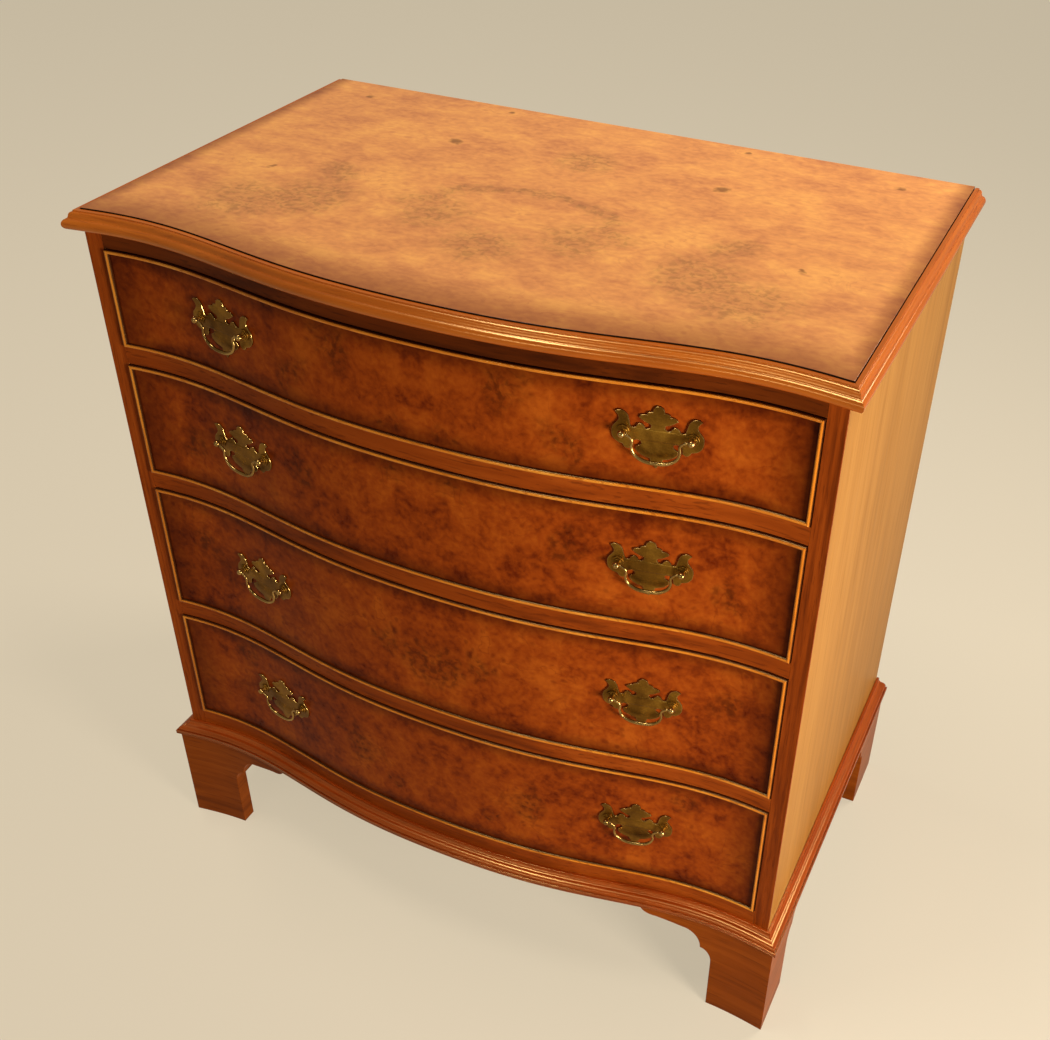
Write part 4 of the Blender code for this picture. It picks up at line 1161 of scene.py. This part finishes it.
# %% [markdown]
# ## Drawer fronts and their cock beads
# Each drawer has a leaf of burr, framed by a cock bead: a thin strip with a rounded edge that stands proud
# of the front. The long strips follow the serpentine and the short ones are upright. They are mitred like a
# picture frame, so each strip is sawn at 45 degrees where two meet.

# %% Make the leaves and beads
BEAD_WIDTH = 0.0042
BEAD_REACH = 0.0040
BEAD_ROOT = -0.006


def bead_section():
    """Rounded strip: a distance ahead of the front, and a distance in from its outer edge."""
    radius = BEAD_WIDTH / 2
    rounded = arc((BEAD_REACH - radius, radius), radius, radius, -90, 90)
    return [(BEAD_ROOT, 0.0), *rounded, (BEAD_ROOT, BEAD_WIDTH)]


def bead_strips(half, low, high):
    """The four strips of one bead."""
    strips = []
    edges = ((low, 1), (high, -1))
    for edge, inward in edges:
        section = [(ahead, edge + inward * inset) for ahead, inset in bead_section()]
        long_strip = sweep(section, -half - PAST, half + PAST, BEAD_WOOD)
        for side in ENDS:
            long_strip = trim(long_strip, (side * half, 0.0, edge), Vector((side, 0.0, inward)))
        strips.append(long_strip)
    for side in ENDS:
        plan = [(side * (half - inset), ahead) for ahead, inset in bead_section()]
        upright = prism([(x, front_y(x) - ahead, low) for x, ahead in plan], (0.0, 0.0, high - low))
        for edge, inward in edges:
            upright = trim(upright, (side * half, 0.0, edge), Vector((-side, 0.0, -inward)))
        strips.append(upright)
    return strips


for number in DRAWERS:
    low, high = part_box(f"drawer_{number}_cock_bead")
    half = high.x
    inner = half - BEAD_WIDTH
    field_low = low.z + BEAD_WIDTH
    field_high = high.z - BEAD_WIDTH
    veneer = front_burr(number, field_low, field_high, inner)
    leaf = sweep(strip(FACING_ROOT, FACING, field_low - GLUE_LINE, field_high + GLUE_LINE),
                 -inner - GLUE_LINE, inner + GLUE_LINE, veneer)
    set_piece(f"drawer_{number}_leaf", leaf, [veneer], "front_burr", f"drawer_{number}")
    beading = joined(bead_strips(half, low.z, high.z))
    set_piece(f"drawer_{number}_beading", beading, [BEAD_WOOD], "bead_wood", f"drawer_{number}",
              f"drawer_{number}_cock_bead")
print("framed", len(DRAWERS), "drawers")

# %% [markdown]
# ## Bracket feet
# A front foot is two brackets mitred at the corner: the front one follows the serpentine and the side one is
# straight. Both are sawn to the same ogee outline. The front bracket is a sweep that is cut by that outline
# with a Boolean, because a bent board has no flat side to draw on.

# %% Draw the brackets
FOOT_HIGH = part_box("foot_front_right")[1]
FOOT_OUTER = FOOT_HIGH.x
FOOT_PROJECTION = FOOT_OUTER - HALF_WIDTH
FOOT_CORNER = front_y(FOOT_OUTER) - FOOT_PROJECTION
FOOT_HEIGHT = FOOT_HIGH.z
FOOT_THICKNESS = 0.018
LEG_WIDTH = 0.068
REAR_LEG_WIDTH = 0.078
LOWER_SCALLOP = (0.0135, 0.0185)
UPPER_SCALLOP = (0.022, 0.0245)
WING = (0.030, 0.0055)
TIP = (0.0175, 0.013)


def bracket_outline(leg_width):
    """Elevation of a bracket: distance from the foot's outer corner, and height."""
    leg_top = FOOT_HEIGHT - TIP[1] - WING[1] - UPPER_SCALLOP[1] - LOWER_SCALLOP[1]
    cusp = leg_width + LOWER_SCALLOP[0]
    cusp_level = leg_top + LOWER_SCALLOP[1]
    shoulder = cusp + UPPER_SCALLOP[0]
    lower = arc((cusp, leg_top), *LOWER_SCALLOP, 180, 90)
    upper = arc((shoulder, cusp_level), *UPPER_SCALLOP, 180, 90)
    tip = arc((shoulder + WING[0], FOOT_HEIGHT), *TIP, 270, 360)
    return [(0.0, 0.0), (leg_width, 0.0), *lower, *upper[1:], *tip, (0.0, FOOT_HEIGHT)]


def sawn_to(mesh, outline):
    """What a mesh shares with a solid outline."""
    holder = put("on_the_bench", mesh)
    tool = put("saw", outline)
    cut = holder.modifiers.new("outline", "BOOLEAN")
    cut.operation = "INTERSECT"
    cut.object = tool
    sawn = plain_mesh(holder)
    bpy.data.objects.remove(tool)
    return sawn


def side_bracket(side, outline):
    """A straight bracket on one side, from an outline of depths and heights."""
    points = [(side * FOOT_OUTER, y, height) for y, height in outline]
    return prism(points, (-side * FOOT_THICKNESS, 0.0, 0.0))


print(f"feet are {MILLIMETRES * FOOT_HEIGHT:.1f} mm high")

# %% [markdown]
# ## Four feet
# Behind each foot is a plain glue block, which carries the weight. The rear feet are meant to stand by a
# wall, so what runs across the back is a plain board with a sloped end.

# %% Make the feet
SAW_LEAD = 0.060
SAW_LENGTH = 0.150
BLOCK = 0.030
BLOCK_CHAMFER = 0.006
REAR_BRACKET_RUN = 0.045
REAR_BRACKET_DEPTH = 0.030
FOOT_EASE = 0.0007


def glue_block(side, front, turn):
    """A block in the corner of a foot, from a level at the front or back, with one corner taken off."""
    outer = FOOT_OUTER - FOOT_THICKNESS
    near = front + turn * FOOT_THICKNESS
    far = near + turn * BLOCK
    inner = outer - BLOCK
    plan = [(outer, near), (inner, near), (inner, far - turn * BLOCK_CHAMFER), (inner + BLOCK_CHAMFER, far),
            (outer, far)]
    return prism([(side * x, y, 0.0) for x, y in plan], (0.0, 0.0, FOOT_HEIGHT))


def front_foot(side, label):
    outline = bracket_outline(LEG_WIDTH)
    length = max(outline)[0]
    left, right = sorted((side * (FOOT_OUTER + PAST), side * (FOOT_OUTER - length - PAST)))
    section = strip(FOOT_PROJECTION - FOOT_THICKNESS, FOOT_PROJECTION, -PAST, FOOT_HEIGHT + PAST)
    face = [(side * (FOOT_OUTER - distance), FRONT - SAW_LEAD, height) for distance, height in outline]
    bracket = sawn_to(sweep(section, left, right, FOOT_WOOD), prism(face, (0.0, SAW_LENGTH, 0.0)))
    flank = side_bracket(side, [(FOOT_CORNER + distance, height) for distance, height in outline])
    meshes = [eased(mitred(bracket, side, True), FOOT_EASE), eased(mitred(flank, side, False), FOOT_EASE)]
    set_piece(f"foot_front_{label}_brackets", joined(meshes), [FOOT_WOOD], "walnut", "case",
              f"foot_front_{label}")
    block = eased(glue_block(side, FOOT_CORNER, 1))
    set_piece(f"foot_front_{label}_block", block, [LINING_UPRIGHT], "lining", "case")


def rear_foot(side, label):
    outline = bracket_outline(REAR_LEG_WIDTH)
    flank = side_bracket(side, [(BACK - distance, height) for distance, height in outline])
    set_piece(f"foot_rear_{label}_bracket", eased(flank, FOOT_EASE), [FOOT_WOOD], "walnut", "case",
              f"foot_rear_{label}")
    inner = LEG_WIDTH + REAR_BRACKET_RUN
    plain = [(FOOT_THICKNESS, 0.0), (LEG_WIDTH, 0.0), (inner, FOOT_HEIGHT - REAR_BRACKET_DEPTH),
             (inner, FOOT_HEIGHT), (FOOT_THICKNESS, FOOT_HEIGHT)]
    across = prism([(side * (FOOT_OUTER - distance), BACK, height) for distance, height in plain],
                   (0.0, -FOOT_THICKNESS, 0.0))
    backing = joined([eased(across), eased(glue_block(side, BACK, -1))])
    set_piece(f"foot_rear_{label}_backing", backing, [LINING_UPRIGHT], "lining", "case")


for side, label in SIDES:
    front_foot(side, label)
    rear_foot(side, label)
print("made 4 feet")

# %% [markdown]
# ## Handle plates
# A handle has a fretted plate, two turned posts and a swan-neck bail. The plate is drawn once as a smooth
# curve, as half of its outline and the mirror of it. The outline is a row of lobes, and each of them ends in
# a cusp. Giving the curve thickness and a narrow bevel makes a casting with a soft edge. The faces of that
# edge are the ones that get rubbed, so they take a second metal.

# %% Draw the plate
POST_SPACING = 0.0588
POST_REACH = 0.006
PLATE_THICKNESS = 0.0018
PLATE_EDGE = 0.00045
PLATE_GRID = 58.0
PLATE_LOBES = (
    ((0.0, 26.2), (3.2, 24.9), (4.6, 22.4), (4.9, 20.6)),
    ((7.2, 20.2), (9.4, 18.9), (9.6, 17.4)),
    ((12.4, 17.3), (15.2, 16.0), (16.2, 14.2)),
    ((13.6, 12.2), (10.0, 10.0), (6.4, 8.6), (5.8, 6.8), (7.4, 4.9), (10.2, 4.6), (11.6, 6.6), (14.6, 8.6),
     (17.2, 7.2), (18.4, 5.0)),
    ((20.6, 4.2), (22.8, 4.9)),
    ((24.2, 10.6), (25.4, 14.6), (28.8, 18.2), (33.0, 18.8), (36.2, 17.0)),
    ((33.6, 14.0), (32.8, 10.4), (34.4, 7.6), (37.6, 3.2), (38.5, -1.6), (37.2, -7.4), (33.4, -11.2),
     (28.8, -12.6)),
    ((27.2, -15.2), (24.4, -16.4), (21.6, -14.8), (20.8, -11.0), (19.4, -8.0)),
    ((16.0, -7.2), (13.4, -8.8), (14.2, -11.2), (17.2, -12.8)),
    ((17.8, -15.6), (15.6, -18.8), (11.0, -21.6), (5.6, -23.2)),
    ((4.8, -25.6), (2.8, -28.2), (0.0, -32.6)),
)
PLATE_CURVE_STEPS = 4
RUBBED_LEAST = 0.2
RUBBED_MOST = 0.98
ROUND = "AUTO"
SHARP = "VECTOR"
UPRIGHT = Matrix.Rotation(math.pi / 2, 4, "X")


def curve_mesh(points, cyclic, settings):
    """Mesh of one smooth curve. Each point is a place, a radius and a kind of handle."""
    curve = bpy.data.curves.new("curve", "CURVE")
    for name, value in settings.items():
        setattr(curve, name, value)
    spline = curve.splines.new("BEZIER")
    spline.bezier_points.add(len(points) - 1)
    spline.use_cyclic_u = cyclic
    for knot, (place, radius, kind) in zip(spline.bezier_points, points):
        knot.co = place
        knot.radius = radius
        knot.handle_left_type = kind
        knot.handle_right_type = kind
    return plain_mesh(put("on_the_bench", curve))


def plate_mesh():
    """The plate, upright in a handle's own frame, whose origin is on the bail's axis."""
    unit = POST_SPACING / PLATE_GRID
    right = []
    for lobe in PLATE_LOBES:
        kinds = [ROUND] * (len(lobe) - 1) + [SHARP]
        right += [((x * unit, z * unit, 0.0), 1.0, kind) for (x, z), kind in zip(lobe, kinds)]
    left = [((-x, z, flat), radius, kind) for (x, z, flat), radius, kind in right[-2:0:-1]]
    mesh = curve_mesh(right + left, True, {
        "dimensions": "2D", "fill_mode": "BOTH", "resolution_u": PLATE_CURVE_STEPS,
        "extrude": PLATE_THICKNESS / 2 - PLATE_EDGE, "bevel_depth": PLATE_EDGE, "bevel_resolution": 1,
        "offset": -PLATE_EDGE})
    mesh.transform(Matrix.Translation((0.0, POST_REACH + PLATE_THICKNESS / 2, 0.0)) @ UPRIGHT)
    for face in mesh.polygons:
        face.material_index = int(RUBBED_LEAST < abs(face.normal.y) < RUBBED_MOST)
    return mesh


PLATE = plate_mesh()
print("plate has", len(PLATE.polygons), "faces")

# %% [markdown]
# ## Posts
# A post is turned: its profile is spun about its axis, from the round knob to a stepped collar on the plate.
# A lathe does the same to the real one.

# %% Turn the posts
KNOB_RADIUS = 0.0034
KNOB_FACETS = 14
NECK_RADIUS = 0.0023
COLLAR_STEPS = ((0.0041, 0.0022), (0.0058, 0.0011))
COLLAR_EDGE = 0.0004
COLLAR_FACETS = 4
POST_ROOT = 0.0022
POST_FACETS = 32


def turned(profile):
    """Solid of a profile spun about Z. Each point is a radius and a height."""
    built = bmesh.new()
    points = [built.verts.new((radius, 0.0, height)) for radius, height in profile]
    edges = [built.edges.new(pair) for pair in zip(points, points[1:])]
    bmesh.ops.spin(built, geom=points + edges, axis=(0.0, 0.0, 1.0), cent=(0.0, 0.0, 0.0), steps=POST_FACETS,
                   angle=2 * math.pi)
    weld(built)
    return as_mesh(built)


def post_mesh(end):
    """A post: knob, neck, and a stepped collar that sits on the plate. The knob is the rubbed part."""
    meeting = -math.degrees(math.acos(NECK_RADIUS / KNOB_RADIUS))
    profile = arc((0.0, POST_REACH), KNOB_RADIUS, KNOB_RADIUS, 90, meeting, KNOB_FACETS)
    inside = NECK_RADIUS
    for radius, height in COLLAR_STEPS:
        profile.append((inside, height))
        edge_centre = (radius - COLLAR_EDGE, height - COLLAR_EDGE)
        profile += arc(edge_centre, COLLAR_EDGE, COLLAR_EDGE, 90, 0, COLLAR_FACETS)
        inside = radius
    profile += [(inside, -POST_ROOT), (0.0, -POST_ROOT)]
    post = turned(profile)
    collar_top = COLLAR_STEPS[0][1]
    for face in post.polygons:
        face.material_index = int(face.center.z > collar_top)
    post.transform(Matrix.Translation((end * POST_SPACING / 2, POST_REACH, 0.0)) @ UPRIGHT)
    return post


POSTS = [post_mesh(end) for end in ENDS]
print("post has", len(POSTS[0].polygons), "faces")

# %% [markdown]
# ## Bails
# A bail is a wire that swells towards the grip, so it is a curve with a round bevel and a radius at each
# point. Wire of one thickness would look bent from a nail.

# %% Bend the bail
PIN_RADIUS = 0.0013
PIN_LENGTH = 0.0045
BAIL_HALF_WIDTH = 0.0203
BAIL_DROP = 0.0236
BAIL_SHOULDER = 0.0042
BAIL_HIP = 0.0115
BAIL_TURN_RISE = 0.0045
BAIL_TURN_INSET = 0.0042
GRIP_RADIUS = 0.0019
BAIL_CURVE_STEPS = 10
BAIL_ROUNDNESS = 8


def bail_mesh():
    """The bail, hanging from its axis: pins at the top, grip at the bottom. A radius is in metres."""
    pin_start = POST_SPACING / 2 - KNOB_RADIUS
    turn_radius = (PIN_RADIUS + GRIP_RADIUS) / 2
    half = [
        ((pin_start + PIN_LENGTH, 0.0, 0.0), PIN_RADIUS, SHARP),
        ((pin_start - PIN_RADIUS, 0.0, 0.0), PIN_RADIUS, SHARP),
        ((BAIL_HALF_WIDTH, 0.0, -BAIL_SHOULDER), PIN_RADIUS, ROUND),
        ((BAIL_HALF_WIDTH, 0.0, BAIL_HIP - BAIL_DROP), PIN_RADIUS, ROUND),
        ((BAIL_HALF_WIDTH - BAIL_TURN_INSET, 0.0, BAIL_TURN_RISE - BAIL_DROP), turn_radius, ROUND),
    ]
    grip = [((0.0, 0.0, -BAIL_DROP), GRIP_RADIUS, ROUND)]
    other = [((-x, y, z), radius, kind) for (x, y, z), radius, kind in half[::-1]]
    return curve_mesh(half + grip + other, False, {
        "dimensions": "3D", "bevel_depth": 1.0, "bevel_resolution": BAIL_ROUNDNESS,
        "resolution_u": BAIL_CURVE_STEPS, "use_fill_caps": True})


BAIL = bail_mesh()
print("bail has", len(BAIL.polygons), "faces")

# %% [markdown]
# ## Hanging the handles
# Where a handle sits is read off its hinge: the hinge's place is on the bail's axis and its direction runs
# from post to post. The front is curved and the plate is drawn flat, so the plate is bent a little until its
# back lies on the veneer, as a fitter does.

# %% Hang the handles
HINGES = {joint["child"]: joint for joint in frame["joints"] if joint["type"] == "hinge"}


def handle_frame(hinge):
    """Where a handle's own frame is: X from post to post, Y into the drawer, Z up."""
    along = Vector(hinge["axis"])
    if along.x < 0:
        along.negate()
    return Matrix.Translation(hinge["pos_m"]) @ Matrix.Rotation(math.atan2(along.y, along.x), 4, "Z")


def bent_plate(placing):
    """A copy of the plate, bent so that its back lies on the veneer."""
    mesh = PLATE.copy()
    back = POST_REACH + PLATE_THICKNESS
    into_frame = placing.inverted()
    for point in mesh.vertices:
        x = (placing @ Vector((point.co.x, back, 0.0))).x
        veneer = into_frame @ Vector((x, front_y(x) - FACING, 0.0))
        point.co.y += veneer.y - back
    return mesh


def hang_handle(number, label):
    handle = f"drawer_{number}_handle_{label}"
    bail = f"{handle}_bail"
    placing = handle_frame(HINGES[bail])
    fixed = joined([bent_plate(placing), *POSTS])
    fixed.transform(placing)
    set_piece(f"{handle}_fret", fixed, [AGED_BRASS, RUBBED_BRASS], "aged_brass", f"drawer_{number}",
              f"{handle}_plate")
    swinging = BAIL.copy()
    swinging.transform(placing)
    set_piece(f"{handle}_swan_neck", swinging, [RUBBED_BRASS], "aged_brass", bail, bail)


for number in DRAWERS:
    for label in LABELS:
        hang_handle(number, label)
print("hung", len(HINGES), "handles")

# %% [markdown]
# ## Nuts and pins
# Inside each drawer, a square nut holds every post. On the back, small pins hold the panel in its rebate.
# Both are one simple shape repeated on points, which is what Geometry Nodes do best: a tree puts a flat cone
# on each point, turned to the direction that the point carries.

# %% Grow the stud tree
def grow_studs():
    sockets = {"Points": "Geometry", "Sides": "Int", "Radius": "Float", "Height": "Float", "Taper": "Float",
               "Material": "Material"}
    graph, given = start_tree("studs", sockets)
    stud = graph.node("GeometryNodeMeshCone", None, {
        "Vertices": given["Sides"], "Radius Bottom": given["Radius"], "Depth": given["Height"],
        "Radius Top": given["Radius"] * given["Taper"]})
    facing = graph.node("GeometryNodeInputNamedAttribute", {"data_type": "FLOAT_VECTOR"}, {"Name": "facing"})
    turn = graph.node("FunctionNodeAlignRotationToVector", {"axis": "Z"}, {"Vector": facing})
    placed = graph.node("GeometryNodeInstanceOnPoints", None,
                        {"Points": given["Points"], "Instance": stud, "Rotation": turn})
    return end_tree(graph, placed, given["Material"])


STUDS = grow_studs()


def studs(places, facings, sizes):
    """Mesh of a brass stud on each place, turned to its facing."""
    points = bpy.data.meshes.new("points")
    points.from_pydata(places, [], [])
    facing = points.attributes.new("facing", "FLOAT_VECTOR", "POINT")
    for item, direction in zip(facing.data, facings):
        item.vector = direction
    return run_tree(STUDS, points, {**sizes, "Material": AGED_BRASS})


print("the stud tree has", len(STUDS.nodes), "nodes")

# %% Set the nuts
NUT_SIZES = {"Sides": 4, "Radius": 0.0055, "Height": 0.003, "Taper": 0.85}
INNER_FACE = 0.0285


def drawer_nuts(number):
    """The four nuts inside one drawer."""
    places = []
    facings = []
    for label in LABELS:
        placing = handle_frame(HINGES[f"drawer_{number}_handle_{label}_bail"])
        for end in ENDS:
            places.append(placing @ Vector((end * POST_SPACING / 2, INNER_FACE, 0.0)))
            facings.append(placing.to_3x3() @ Vector((0.0, 1.0, 0.0)))
    return studs(places, facings, NUT_SIZES)


for number in DRAWERS:
    set_piece(f"drawer_{number}_nuts", drawer_nuts(number), [], "aged_brass", f"drawer_{number}")
print("set 4 nuts in each drawer")

# %% [markdown]
# ## The back
# The back is one thin panel, let into the sides and pinned all round. Its face is kept a little below the
# edges of the sides, so that the heads of the pins stay level with them.

# %% Make the back and its pins
BACK_LOW, BACK_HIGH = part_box("back_panel")
BACK_SINK = 0.0007
PIN_INSET = 0.006
PIN_SPACING = 0.075
PIN_SIZES = {"Sides": 12, "Radius": 0.0022, "Height": 0.0006, "Taper": 0.7}


def evenly(low, high, spacing):
    """Places from low to high, spread evenly and about one spacing apart."""
    count = round((high - low) / spacing)
    return [low + (high - low) * step / count for step in range(count + 1)]


def pin_places():
    """Places of the pins round the edge of the back."""
    left, right = BACK_LOW.x + PIN_INSET, BACK_HIGH.x - PIN_INSET
    bottom, top = BACK_LOW.z + PIN_INSET, BACK_HIGH.z - PIN_INSET
    level = BACK - BACK_SINK
    across = [(x, level, z) for z in (bottom, top) for x in evenly(left, right, PIN_SPACING)]
    up = [(x, level, z) for x in (left, right) for z in evenly(bottom, top, PIN_SPACING)[1:-1]]
    return across + up


corners = [(BACK_LOW.x, BACK_LOW.z), (BACK_HIGH.x, BACK_LOW.z), (BACK_HIGH.x, BACK_HIGH.z),
           (BACK_LOW.x, BACK_HIGH.z)]
panel = prism([(x, BACK_LOW.y, z) for x, z in corners], (0.0, BACK_HIGH.y - BACK_LOW.y - BACK_SINK, 0.0))
set_piece("back_board", eased(panel), [LINING_UPRIGHT], "lining", "case", "back_panel")
pins = pin_places()
set_piece("back_pins", studs(pins, [(0.0, 1.0, 0.0)] * len(pins), PIN_SIZES), [], "aged_brass", "case")
print("pinned the back with", len(pins), "pins")

# %% [markdown]
# ## Boards that stay as they are
# The sides, the rails behind their facings and the boxes of the drawers already have the right shape. They
# only need their finish: the grain of each runs along the board.

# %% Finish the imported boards
PACKED_FINISHES = {
    SIDE_WOOD: ["side_left", "side_right"],
    RAIL_WOOD: list(RAIL_NAMES),
    LINING_LONG: ["bottom_board"],
    LINING_CROSS: [],
}
for number in DRAWERS:
    long_boards = ("side_left", "side_right", "bottom")
    PACKED_FINISHES[LINING_LONG] += [f"drawer_{number}_{board}" for board in long_boards]
    PACKED_FINISHES[LINING_CROSS] += [f"drawer_{number}_back", f"drawer_{number}_front"]

for wood, nodes in PACKED_FINISHES.items():
    for node in nodes:
        boards = frame["nodes"][node].data.materials
        boards.clear()
        boards.append(wood)
print("finished", sum(map(len, PACKED_FINISHES.values())), "packed boards")
